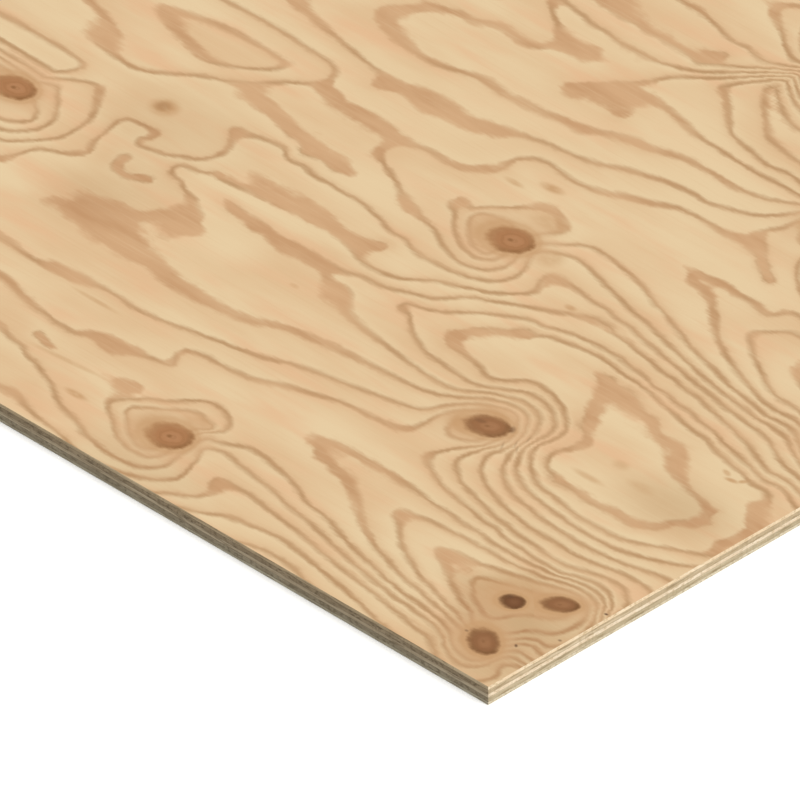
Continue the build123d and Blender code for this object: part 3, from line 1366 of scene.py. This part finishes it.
@dataclass(frozen=True)
class EdgeFinish:
    """The sawn edge of one ply: streaks along the edge, or the speckle of cut fibre ends."""

    name: str
    run: EdgeRun
    grain: EdgeGrain
    base: Swatch
    pale: Swatch
    dark: Swatch
    glue: Swatch
    body_layers: float = 3.0
    fibre_layers: float = 2.0
    saw_layers: float = 1.0
    layer_strength: float = 0.6
    coarse_up_share: float = 0.5
    saw_along: float = 420.0
    saw_up: float = 20.0
    fibre_shift: Triple = (1.7, 5.3, 0.4)
    saw_shift: Triple = (9.2, 2.6, 0.0)
    pale_streaks: Ramp = Ramp(0.44, 0.66)
    dark_streaks: Ramp = Ramp(0.48, 0.68, 0.0, 0.9)
    saw_marks: Ramp = Ramp(0.52, 0.75, 0.0, 0.3)
    glue_line: Ramp = Ramp(0.2, 1.0, 0.0, 0.75)
    dull: Ramp = Ramp(0.2, 0.8, 0.68, 0.85)
    gloss: float = 0.2
    relief_depth: float = 0.3 * MM
    relief_strength: float = 0.4

    def material(self) -> bpy.types.Material:
        """Build the material.

        Returns:
            The finished material.
        """
        sheet = NodeSheet(self.name)
        sawn = self.grain.value
        coarse = self._stretch(sawn.coarse, sawn.up * self.coarse_up_share)
        fine = self._stretch(sawn.fine, sawn.up)
        saw = self._stretch(self.saw_along, self.saw_up)
        body = sheet.noise(Grain(coarse, self.body_layers, self.layer_strength))
        fibre = sheet.noise(Grain(fine, self.fibre_layers, self.layer_strength, self.fibre_shift))
        marks = sheet.noise(Grain(saw, self.saw_layers, shift=self.saw_shift))
        wood = sheet.mix(sheet.step(body, self.pale_streaks), self.base, self.pale)
        wood = sheet.mix(sheet.step(fibre, self.dark_streaks), wood, self.dark)
        wood = sheet.mix(sheet.step(marks, self.saw_marks), wood, self.dark)
        glued = sheet.step(sheet.attribute("glue"), self.glue_line)
        wood = sheet.mix(glued, wood, self.glue)
        sheet.coat(wood, sheet.step(fibre, self.dull), self.gloss)
        sheet.bump(sheet.math("ADD", fibre, marks), self.relief_depth, self.relief_strength)
        return sheet.material

    def _stretch(self, along: float, up: float) -> Triple:
        """Give waves per metre along the edge and up it on the three axes."""
        return (along, 1.0, up) if self.run is EdgeRun.LONG else (1.0, along, up)


@dataclass(frozen=True)
class FloorFinish:
    """A matt pale studio floor with a faint mottle."""

    name: str = "pale_floor"
    bright: Colour = (0.96, 0.96, 0.945)
    soft: Colour = (0.94, 0.94, 0.925)
    mottle: Grain = Grain((1.5, 1.5, 1.5))
    dull: Ramp = Ramp(0.2, 0.8, 0.85, 0.95)
    glow: float = 0.12

    def material(self) -> bpy.types.Material:
        """Build the material.

        Returns:
            The finished material.
        """
        sheet = NodeSheet(self.name)
        mottle = sheet.noise(self.mottle)
        sheet.coat(sheet.mix(mottle, self.bright, self.soft), sheet.step(mottle, self.dull), 0.0)
        sheet.shader.inputs["Emission Color"].default_value = (*self.bright, 1.0)
        sheet.shader.inputs["Emission Strength"].default_value = self.glow
        return sheet.material


def graded_lines(stops: Sequence[float], spacings: Sequence[float]) -> np.ndarray:
    """Divide a length into runs of different fineness.

    Args:
        stops: Ends of the runs, rising.
        spacings: The wanted step in each run.

    Returns:
        Rising array of positions with every stop in it.
    """
    runs = []
    for start, end, spacing in zip(stops[:-1], stops[1:], spacings):
        count = max(1, int(round((end - start) / spacing)))
        runs.append(np.linspace(start, end, count + 1)[:-1])
    runs.append(np.array([stops[-1]]))
    return np.concatenate(runs)


class Region(Enum):
    """The parts of a ply's surface, each with its own finish."""

    SURFACE = 0
    LONG_EDGE = 1
    SHORT_EDGE = 2
    HIDDEN = 3


@dataclass(frozen=True)
class BakeStrip:
    """A rectangle of the bake map: its low corner and size."""

    left: float
    low: float
    width: float
    height: float

    def spread(self, across: np.ndarray, up: np.ndarray) -> np.ndarray:
        """Place shares of 0 to 1 inside the rectangle.

        Args:
            across: Shares along the map's width.
            up: Shares along its height.

        Returns:
            Array with the two map coordinates in its last axis.
        """
        return np.stack([self.left + self.width * across, self.low + self.height * up], axis=-1)


MAP_MARGIN = 0.005
MAP_SPAN = 0.99
EDGE_LOW = 0.914
EDGE_STEP = 0.021
EDGE_HEIGHT = 0.017
SIDES = 4
SURFACE_STRIP = BakeStrip(MAP_MARGIN, MAP_MARGIN, MAP_SPAN, 0.885)
HIDDEN_STRIP = BakeStrip(MAP_MARGIN, 0.9, MAP_SPAN, 0.008)
EDGE_STRIPS = tuple(
    BakeStrip(MAP_MARGIN, EDGE_LOW + EDGE_STEP * side, MAP_SPAN, EDGE_HEIGHT) for side in range(SIDES)
)


class CapShare(Enum):
    """Low end and size of a cap's share of the hidden part of the bake map."""

    WHOLE = (0.0, 1.0)
    TOP = (0.0, 0.45)
    BOTTOM = (0.55, 0.45)


class MeshDraft:
    """Faces, map coordinates and regions collected for one closed mesh."""

    def __init__(self, length: float, width: float) -> None:
        """Start an empty draft.

        Args:
            length: The sheet's size along X.
            width: The sheet's size along Y.
        """
        self.length = length
        self.width = width
        self.points: List[np.ndarray] = []
        self.glue: List[np.ndarray] = []
        self.faces: List[np.ndarray] = []
        self.maps: List[np.ndarray] = []
        self.regions: List[np.ndarray] = []
        self.count = 0

    def add_points(self, points: np.ndarray, glue: Union[float, np.ndarray] = 0.0) -> int:
        """Add vertices.

        Args:
            points: Array of places, one a row.
            glue: How near they are to a glue line, 0 to 1.

        Returns:
            Index of the first one.
        """
        first = self.count
        self.points.append(points)
        self.glue.append(np.broadcast_to(np.asarray(glue, dtype=float), (len(points),)))
        self.count += len(points)
        return first

    def add_faces(self, faces: np.ndarray, maps: np.ndarray, region: Union[Region, np.ndarray]) -> None:
        """Add faces that all have the same number of corners.

        Args:
            faces: Vertex numbers, one face a row.
            maps: Map coordinates of each corner.
            region: Their region, or an array of region numbers.
        """
        number = region.value if isinstance(region, Region) else region
        self.faces.append(faces)
        self.maps.append(maps)
        self.regions.append(np.broadcast_to(np.asarray(number, dtype=np.int32), (len(faces),)))

    def shares(self, corners: np.ndarray) -> Tuple[np.ndarray, np.ndarray]:
        """Give the share of the sheet's length and width at vertices.

        Args:
            corners: Vertex numbers in any shape.

        Returns:
            Two arrays of that shape, from 0 to 1.
        """
        points = np.concatenate(self.points)
        along = points[corners, 0] / self.length + 0.5
        across = points[corners, 1] / self.width + 0.5
        return along, across

    def mesh(self, name: str, turned: bool) -> bpy.types.Mesh:
        """Write the draft into a mesh.

        Args:
            name: The mesh's name.
            turned: True where the faces were drafted inside out.

        Returns:
            The mesh, with its bake map and its glue attribute.
        """
        order = slice(None, None, -1) if turned else slice(None)
        corner_runs = [np.ascontiguousarray(faces[:, order]) for faces in self.faces]
        map_runs = [np.ascontiguousarray(maps[:, order]) for maps in self.maps]
        sizes = np.concatenate([np.full(len(faces), faces.shape[1]) for faces in self.faces])
        starts = np.concatenate([[0], np.cumsum(sizes)[:-1]]).astype(np.int32)
        corners = np.concatenate([run.ravel() for run in corner_runs]).astype(np.int32)
        mesh = bpy.data.meshes.new(name)
        mesh.vertices.add(self.count)
        mesh.vertices.foreach_set("co", np.concatenate(self.points).astype(np.float32).ravel())
        mesh.loops.add(len(corners))
        mesh.loops.foreach_set("vertex_index", corners)
        mesh.polygons.add(len(sizes))
        mesh.polygons.foreach_set("loop_start", starts)
        mesh.polygons.foreach_set("material_index", np.concatenate(self.regions).astype(np.int32))
        mesh.polygons.foreach_set("use_smooth", np.ones(len(sizes), dtype=bool))
        bake = mesh.uv_layers.new(name="OFBake")
        flat_map = np.concatenate([run.reshape(-1, 2) for run in map_runs]).astype(np.float32)
        bake.data.foreach_set("uv", flat_map.ravel())
        glue = mesh.attributes.new("glue", "FLOAT", "POINT")
        glue.data.foreach_set("value", np.concatenate(self.glue).astype(np.float32))
        mesh.update(calc_edges=True)
        mesh.validate()
        return mesh


@dataclass(frozen=True)
class WallRow:
    """One row of points down a ply's edge: inset, share of the ply's depth, glue share and roughness."""

    inset: float
    depth: float
    glue: float = 0.0
    rough: float = 0.0


@dataclass
class Ply:
    """One ply of the sheet: a closed slab with an edge of several rows and a finish for each region."""

    name: str
    node: str
    slot: str
    length: float
    width: float
    outer: float
    inner: float
    finishes: Dict[Region, bpy.types.Material]
    seed: int
    along_lines: np.ndarray
    across_lines: np.ndarray
    rows: Tuple[WallRow, ...]

    TEAR_REACH = 6
    TEAR_SOFT = 1.6

    def _border(self) -> Tuple[np.ndarray, np.ndarray, np.ndarray]:
        """Walk once round the lines' outer rectangle, front edge first, seen from above.

        Returns:
            The places as shares -1 to 1 of the half-length and half-width, and the side of each step:
            0 front, 1 right, 2 rear, 3 left.
        """
        xs = self.along_lines / np.abs(self.along_lines).max()
        ys = self.across_lines / np.abs(self.across_lines).max()
        across = np.concatenate([
            np.full(len(xs), ys[0]), ys[1:], np.full(len(xs) - 1, ys[-1]), ys[-2:0:-1],
        ])
        along = np.concatenate([
            xs, np.full(len(ys) - 1, xs[-1]), xs[-2::-1], np.full(len(ys) - 2, xs[0]),
        ])
        steps = (len(xs) - 1, len(ys) - 1, len(xs) - 1, len(ys) - 1)
        return along, across, np.repeat(np.arange(SIDES), steps)

    def _uneven(self, count: int) -> np.ndarray:
        """Draw how far the saw has torn the edge at each border point.

        Args:
            count: Number of border points.

        Returns:
            Smooth random values of about 0 to 1 that close on themselves.
        """
        reach = self.TEAR_REACH
        draw = np.random.default_rng(self.seed).random(count)
        spread = np.exp(-0.5 * (np.arange(-reach, reach + 1) / self.TEAR_SOFT) ** 2)
        wrapped = np.concatenate([draw[-reach:], draw, draw[:reach]])
        soft = np.convolve(wrapped, spread / spread.sum(), mode="valid")
        return np.clip((soft - soft.min()) / (soft.max() - soft.min()), 0.0, 1.0)

    def _walls(self, draft: MeshDraft, first_ring: Optional[np.ndarray]) -> Tuple[np.ndarray, np.ndarray]:
        """Carry the rows round the border.

        A row's point is the border share times the half-size less the row's inset and tear, at the row's
        depth between the outer and the inner level.

        Args:
            draft: Draft to add to.
            first_ring: Vertex numbers of the surface's own border, or None where the rows start at a cap.

        Returns:
            Vertex numbers of the first and the last ring.
        """
        along, across, sides = self._border()
        torn = self._uneven(len(along))
        rings = [] if first_ring is None else [first_ring]
        for row in self.rows:
            inset = row.inset + row.rough * torn
            level = np.full(len(along), self.outer + (self.inner - self.outer) * row.depth)
            x = along * (0.5 * self.length - inset)
            y = across * (0.5 * self.width - inset)
            start = draft.add_points(np.stack([x, y, level], axis=1), row.glue)
            rings.append(np.arange(start, start + len(along)))
        on_long = sides % 2 == 0
        regions = np.where(on_long, Region.LONG_EDGE.value, Region.SHORT_EDGE.value)
        last = len(rings) - 1
        for number in range(last):
            upper, lower = rings[number], rings[number + 1]
            faces = np.stack([lower, np.roll(lower, -1), np.roll(upper, -1), upper], axis=1)
            share_x, share_y = draft.shares(faces)
            along_edge = np.where(on_long[:, None], share_x, share_y)
            up = np.array([number + 1, number + 1, number, number]) / last
            up = np.broadcast_to(up, along_edge.shape)
            spread = np.stack([strip.spread(along_edge, up) for strip in EDGE_STRIPS])
            draft.add_faces(faces, spread[sides, np.arange(len(sides))], regions)
        return rings[0], rings[-1]

    def _cap(self, draft: MeshDraft, ring: np.ndarray, upward: bool, share: CapShare) -> None:
        """Close a ring with strips from the front edge to the rear one.

        Args:
            draft: Draft to add to.
            ring: Vertex numbers of the ring.
            upward: True where the cap looks to the outer side.
            share: Its share of the hidden part of the bake map.
        """
        low, size = share.value
        columns, lines = len(self.along_lines), len(self.across_lines)
        corner = columns + lines - 2
        front = ring[:columns]
        rear = ring[corner + (columns - 1 - np.arange(columns))]
        left = ring[corner + columns:][::-1]
        right = ring[columns:corner]
        strips = np.stack([front[1:-2], rear[1:-2], rear[2:-1], front[2:-1]], axis=1)
        left_end = np.concatenate([[front[0]], left, [rear[0], rear[1], front[1]]])[None, :]
        right_end = np.concatenate([[front[-2], rear[-2], rear[-1]], right[::-1], [front[-1]]])[None, :]
        for faces in (strips, left_end, right_end):
            share_x, share_y = draft.shares(faces)
            maps = HIDDEN_STRIP.spread(share_x, low + size * share_y)
            order = slice(None, None, -1) if upward else slice(None)
            draft.add_faces(faces[:, order], maps[:, order], Region.HIDDEN)

    def _finish(self, mesh: bpy.types.Mesh) -> bpy.types.Object:
        """Make the object, dress it and tie it to the frame.

        Args:
            mesh: The ply's mesh.

        Returns:
            The finished piece.
        """
        for region in Region:
            mesh.materials.append(self.finishes[region])
        piece = bpy.data.objects.new(self.name, mesh)
        bpy.context.scene.collection.objects.link(piece)
        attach(piece, "root")
        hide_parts(self.node)
        LOG.info("%s: %d vertices, %d faces", self.name, len(mesh.vertices), len(mesh.polygons))
        return piece


class InnerPly(Ply):
    """A ply inside the sheet, of which only the edge is seen."""

    def build(self) -> bpy.types.Object:
        """Build the edge rows and close them above and below.

        Returns:
            The finished piece.
        """
        draft = MeshDraft(self.length, self.width)
        top, bottom = self._walls(draft, None)
        self._cap(draft, top, True, CapShare.TOP)
        self._cap(draft, bottom, False, CapShare.BOTTOM)
        return self._finish(draft.mesh(self.name, False))


class OuterPly(Ply):
    """A face or back ply: a fine grid that carries the ring field, with rounded arrises."""

    LIFT = 0.07 * MM
    LATE_BELL = 0.12

    def build(self, figure: Union[FaceFigure, DriftingFigure], tint: BroadTint) -> bpy.types.Object:
        """Build the surface, the edge rows and the hidden side.

        The surface is the ply's outer level over the grid of lines, with the late wood standing a little
        proud: lift times the bell exp(-(d/w)^2) of the level's distance d from a whole number, less a lift.

        Args:
            figure: What gives the ring level.
            tint: What gives the slow change of tone.

        Returns:
            The finished piece.
        """
        draft = MeshDraft(self.length, self.width)
        xs, ys = np.meshgrid(self.along_lines, self.across_lines, indexing="ij")
        along = (CAD_HIGH.x - xs) / MM
        across = (ys - CAD_LOW.y) / MM
        level = figure.level(along, across)
        slope = np.hypot(*np.gradient(level, along[:, 0], across[0]))
        outward = 1.0 if self.outer > self.inner else -1.0
        past = level - np.round(level)
        proud = self.LIFT * (np.exp(-(past / self.LATE_BELL) ** 2) - 1.0)
        heights = self.outer + outward * proud
        draft.add_points(np.stack([xs.ravel(), ys.ravel(), heights.ravel()], axis=1))
        columns, lines = xs.shape
        numbers = np.arange(columns * lines).reshape(columns, lines)
        corners = (numbers[:-1, :-1], numbers[1:, :-1], numbers[1:, 1:], numbers[:-1, 1:])
        faces = np.stack([corner.ravel() for corner in corners], axis=1)
        draft.add_faces(faces, SURFACE_STRIP.spread(*draft.shares(faces)), Region.SURFACE)
        ring = np.concatenate([numbers[:, 0], numbers[-1, 1:], numbers[-2::-1, -1], numbers[0, -2:0:-1]])
        _, last = self._walls(draft, ring)
        self._cap(draft, last, False, CapShare.WHOLE)
        mesh = draft.mesh(self.name, outward < 0.0)
        spare = np.zeros(draft.count - level.size)
        tones = tint.share(along, across)
        for name, values in (("ring", level), ("ring_slope", slope), ("tint", tones)):
            layer = mesh.attributes.new(name, "FLOAT", "POINT")
            layer.data.foreach_set("value", np.concatenate([values.ravel(), spare]).astype(np.float32))
        return self._finish(mesh)


class PlyKind(Enum):
    """Where a ply lies in the sheet."""

    FACE = "face"
    INNER = "inner"
    BACK = "back"


class GrainRun(Enum):
    """Which way a ply's grain runs over the sheet."""

    ALONG = "along"
    CROSS = "cross"


@dataclass(frozen=True)
class EdgeTones:
    """The colours of one ply's sawn edge: its body, its pale streaks and its dark streaks."""

    base: Tone
    pale: Tone
    dark: Tone


@dataclass(frozen=True)
class Layer:
    """One ply of the layup: kind, names, slot, levels in mm, the run of its grain and its edge colours, the
    long-edge colours darker than the short-edge ones as painted shade.
    """

    kind: PlyKind
    piece: str
    node: str
    slot: str
    low: float
    high: float
    grain: GrainRun
    seed: int
    long_tones_painted_shade: EdgeTones
    short_tones: EdgeTones


# The long-edge tones stay darker than the short-edge tones of the same ply even after the long edges' lower
# light level is taken out: painted shade on the long sides.
LAYUP: Tuple[Layer, ...] = (
    Layer(
        PlyKind.BACK, "back_ply", "back_veneer", "back_veneer", 0.0, 3.0, GrainRun.ALONG, 11,
        EdgeTones((136, 128, 109), (152, 146, 128), (110, 100, 82)),
        EdgeTones((220, 206, 177), (236, 224, 198), (188, 172, 140)),
    ),
    Layer(
        PlyKind.INNER, "lower_cross_ply", "lower_crossband", "crossband", 3.0, 7.3, GrainRun.CROSS, 23,
        EdgeTones((114, 103, 84), (128, 118, 99), (92, 82, 64)),
        EdgeTones((196, 178, 145), (220, 203, 172), (160, 141, 107)),
    ),
    Layer(
        PlyKind.INNER, "centre_ply", "centre_veneer", "centre_veneer", 7.3, 10.7, GrainRun.ALONG, 37,
        EdgeTones((136, 122, 100), (152, 139, 117), (106, 93, 73)),
        EdgeTones((240, 217, 185), (250, 232, 204), (212, 188, 152)),
    ),
    Layer(
        PlyKind.INNER, "upper_cross_ply", "upper_crossband", "crossband", 10.7, 15.0, GrainRun.CROSS, 41,
        EdgeTones((114, 99, 77), (128, 113, 90), (88, 75, 57)),
        EdgeTones((201, 178, 143), (222, 201, 168), (164, 140, 104)),
    ),
    Layer(
        PlyKind.FACE, "face_ply", "face_veneer", "face_veneer", 15.0, 18.0, GrainRun.ALONG, 53,
        EdgeTones((138, 121, 95), (154, 137, 110), (106, 91, 68)),
        EdgeTones((244, 217, 179), (252, 230, 196), (214, 187, 146)),
    ),
)


@dataclass
class PlywoodSheet:
    """The whole sheet, built ply by ply from the back to the face."""

    length: float = 2.44
    width: float = 1.22
    arris: float = 0.6 * MM
    lip: float = 0.4 * MM
    glue_inset: float = 0.16 * MM
    corner_along: float = 0.9
    corner_across: float = 0.78
    fine_steps: Tuple[float, float] = (4.8 * MM, 3.2 * MM)
    far_steps: Tuple[float, float] = (13.5 * MM, 9.0 * MM)
    edge_step: float = 4.0 * MM
    # Light levels taken out of the edge colours; the long-edge colours and glue line stay darker than the
    # short-edge ones as painted shade.
    short_light: float = 1.32
    long_light: float = 0.755
    short_glue: Tone = (172, 148, 110)
    long_glue_painted_shade: Tone = (82, 70, 52)
    back_phase: float = 1.7
    arris_tear: float = 0.05 * MM
    outer_tears: Tuple[WallRow, ...] = (
        WallRow(0.0, 0.55, 0.0, 0.1 * MM),
        WallRow(0.0, 0.86, 0.0, 0.06 * MM),
    )
    inner_tears: Tuple[WallRow, ...] = (
        WallRow(0.02 * MM, 0.1, 0.0, 0.1 * MM),
        WallRow(0.04 * MM, 0.35, 0.0, 0.2 * MM),
        WallRow(0.04 * MM, 0.65, 0.0, 0.16 * MM),
        WallRow(0.02 * MM, 0.9, 0.0, 0.1 * MM),
    )

    @staticmethod
    def _lit(tones: EdgeTones, glue: Tone, light: float) -> Tuple[Swatch, ...]:
        """Turn an edge's seen colours and its glue line's into swatches for the light on that side."""
        return tuple(Swatch(*tone, light) for tone in (tones.base, tones.pale, tones.dark, glue))

    def _edge_finishes(self, layer: Layer) -> Dict[Region, bpy.types.Material]:
        """Choose the colours of one ply's two pairs of edges, the long pair darker than the short one as
        painted shade.

        Args:
            layer: The ply.

        Returns:
            The materials of its edges and of its hidden sides.
        """
        grains = (EdgeGrain.STREAKS, EdgeGrain.CUT_ENDS)
        if layer.grain is GrainRun.CROSS:
            grains = grains[::-1]
        # The long-edge colours carry painted shade: they are darker than the short-edge colours of the same
        # ply.
        long_edge_painted_shade = EdgeFinish(
            layer.piece + "_long_edge_painted_shade", EdgeRun.LONG, grains[0],
            *self._lit(layer.long_tones_painted_shade, self.long_glue_painted_shade, self.long_light),
        ).material()
        short_edge = EdgeFinish(
            layer.piece + "_short_edge", EdgeRun.SHORT, grains[1],
            *self._lit(layer.short_tones, self.short_glue, self.short_light),
        ).material()
        return {Region.LONG_EDGE: long_edge_painted_shade, Region.SHORT_EDGE: short_edge, Region.HIDDEN: long_edge_painted_shade}

    def _outer_lines(self, fine: bool) -> Tuple[np.ndarray, np.ndarray]:
        """Lay out the grid lines of a face or back ply, fine near the near corner of the face.

        Args:
            fine: True for the face, False for the back.

        Returns:
            Rising X and Y lines inside the arrises.
        """
        near = self.fine_steps if fine else self.far_steps
        lines = []
        for size, corner, step, far in zip(
            (self.length, self.width), (self.corner_along, self.corner_across), near, self.far_steps
        ):
            start, end = self.arris, size - self.arris
            stops = (start, start + self.lip, corner, end - self.lip, end)
            lines.append(graded_lines(stops, (self.lip, step, far, self.lip)))
        return 0.5 * self.length - lines[0][::-1], lines[1] - 0.5 * self.width

    def _inner_lines(self) -> Tuple[np.ndarray, np.ndarray]:
        """Lay out even border lines for an inner ply.

        Returns:
            Rising X and Y lines.
        """
        half_length, half_width = 0.5 * self.length, 0.5 * self.width
        along = graded_lines((-half_length, half_length), (self.edge_step,))
        across = graded_lines((-half_width, half_width), (self.edge_step,))
        return along, across

    def _outer_rows(self, thickness: float) -> Tuple[WallRow, ...]:
        """Give the rows from a rounded arris down to the glue line.

        Args:
            thickness: The ply's thickness in metres.

        Returns:
            The rows, from outside inwards.
        """
        arris = self.arris
        bend = 1.0 - math.sqrt(0.5)
        return (
            WallRow(arris * bend, arris * bend / thickness),
            WallRow(0.0, arris / thickness, 0.0, self.arris_tear),
            *self.outer_tears,
            WallRow(self.glue_inset, 1.0, 1.0),
        )

    def _inner_rows(self) -> Tuple[WallRow, ...]:
        """Give the rows of an inner ply from glue line to glue line.

        Returns:
            The rows, from the top down.
        """
        return (
            WallRow(self.glue_inset, 0.0, 1.0),
            *self.inner_tears,
            WallRow(self.glue_inset, 1.0, 1.0),
        )

    def build(self) -> List[bpy.types.Object]:
        """Build every ply.

        Returns:
            The finished pieces, from the back to the face.
        """
        pieces = []
        face_knots = KnotFinish(FACE_KNOTS, CAD_HIGH.z)
        face_finish = VeneerFinish("face_figure", face_knots, FACE_FLECKS, FACE_STAINS)
        back_finish = VeneerFinish("back_figure", KnotFinish(BACK_KNOTS, CAD_LOW.z))
        for layer in LAYUP:
            finishes = self._edge_finishes(layer)
            low, high = layer.low * MM, layer.high * MM
            common = (layer.piece, layer.node, layer.slot, self.length, self.width)
            if layer.kind is PlyKind.FACE:
                finishes[Region.SURFACE] = face_finish.material()
                ply = OuterPly(*common, high, low, finishes, layer.seed, *self._outer_lines(True),
                               self._outer_rows(high - low))
                pieces.append(ply.build(FaceFigure(), BroadTint(FACE_TINTS, wave=0.0)))
            elif layer.kind is PlyKind.BACK:
                finishes[Region.SURFACE] = back_finish.material()
                ply = OuterPly(*common, low, high, finishes, layer.seed, *self._outer_lines(False),
                               self._outer_rows(high - low))
                pieces.append(ply.build(DriftingFigure(BACK_KNOTS, self.back_phase), BroadTint()))
            else:
                finishes[Region.SURFACE] = finishes[Region.HIDDEN]
                ply = InnerPly(*common, high, low, finishes, layer.seed, *self._inner_lines(),
                               self._inner_rows())
                pieces.append(ply.build())
        return pieces


@dataclass
class Studio:
    """Pale floor, soft light from the right and a long lens at the picture's angle."""

    floor_half: float = 30.0
    floor_drop: float = 0.2 * MM
    azimuth: float = 45.182
    elevation: float = 34.802
    lens: float = 1400.0
    sensor: float = 36.0
    clip_share: float = 4.0
    frame_width: float = 0.6587
    aim: Tuple[float, float, float] = (0.8794, -0.3726, 0.018)
    sun_strength: float = 2.54
    sun_height: float = 50.0
    sun_spread: float = 35.0
    sky_strength: float = 0.47
    sky: Colour = (1.0, 1.0, 0.99)

    def floor(self) -> bpy.types.Object:
        """Lay the floor just under the sheet.

        Returns:
            The floor object.
        """
        half = self.floor_half
        low = -self.floor_drop
        spots = np.array([(-half, -half, low), (half, -half, low), (half, half, low), (-half, half, low)])
        mesh = bpy.data.meshes.new("studio_floor")
        mesh.from_pydata(spots.tolist(), [], [tuple(range(len(spots)))])
        mesh.materials.append(FloorFinish().material())
        floor = bpy.data.objects.new("studio_floor", mesh)
        bpy.context.scene.collection.objects.link(floor)
        return floor

    def lights(self) -> None:
        """Set an even sky and one broad sun that comes from +X."""
        world = bpy.data.worlds.new("studio_sky")
        world.use_nodes = True
        background = world.node_tree.nodes["Background"]
        background.inputs["Color"].default_value = (*self.sky, 1.0)
        background.inputs["Strength"].default_value = self.sky_strength
        bpy.context.scene.world = world
        sun = bpy.data.lights.new("broad_sun", "SUN")
        sun.energy = self.sun_strength
        sun.angle = math.radians(self.sun_spread)
        lamp = bpy.data.objects.new("broad_sun", sun)
        lamp.rotation_euler = (0.0, 0.5 * math.pi - math.radians(self.sun_height), 0.0)
        bpy.context.scene.collection.objects.link(lamp)
        bpy.context.scene.view_settings.view_transform = "Standard"

    def camera(self) -> bpy.types.Object:
        """Stand the camera at the picture's angle, far off behind a long lens.

        Returns:
            The camera object.
        """
        turn, rise = math.radians(self.azimuth), math.radians(self.elevation)
        away = self.frame_width * self.lens / self.sensor
        level = math.cos(rise)
        back = np.array([math.sin(turn) * level, -math.cos(turn) * level, math.sin(rise)])
        data = bpy.data.cameras.new("picture_camera")
        data.lens = self.lens
        data.sensor_width = self.sensor
        data.clip_end = self.clip_share * away
        camera = bpy.data.objects.new("picture_camera", data)
        camera.location = tuple(np.array(self.aim) + back * away)
        camera.rotation_euler = (0.5 * math.pi - rise, 0.0, turn)
        bpy.context.scene.collection.objects.link(camera)
        bpy.context.scene.camera = camera
        return camera


def main() -> None:
    """Build the studio and the sheet, and report each piece."""
    logging.basicConfig(level=logging.INFO, format="%(name)s: %(message)s")
    studio = Studio()
    studio.floor()
    studio.lights()
    studio.camera()
    for piece in PlywoodSheet().build():
        LOG.info("built %s", piece.name)


if __name__ == "__main__":
    main()
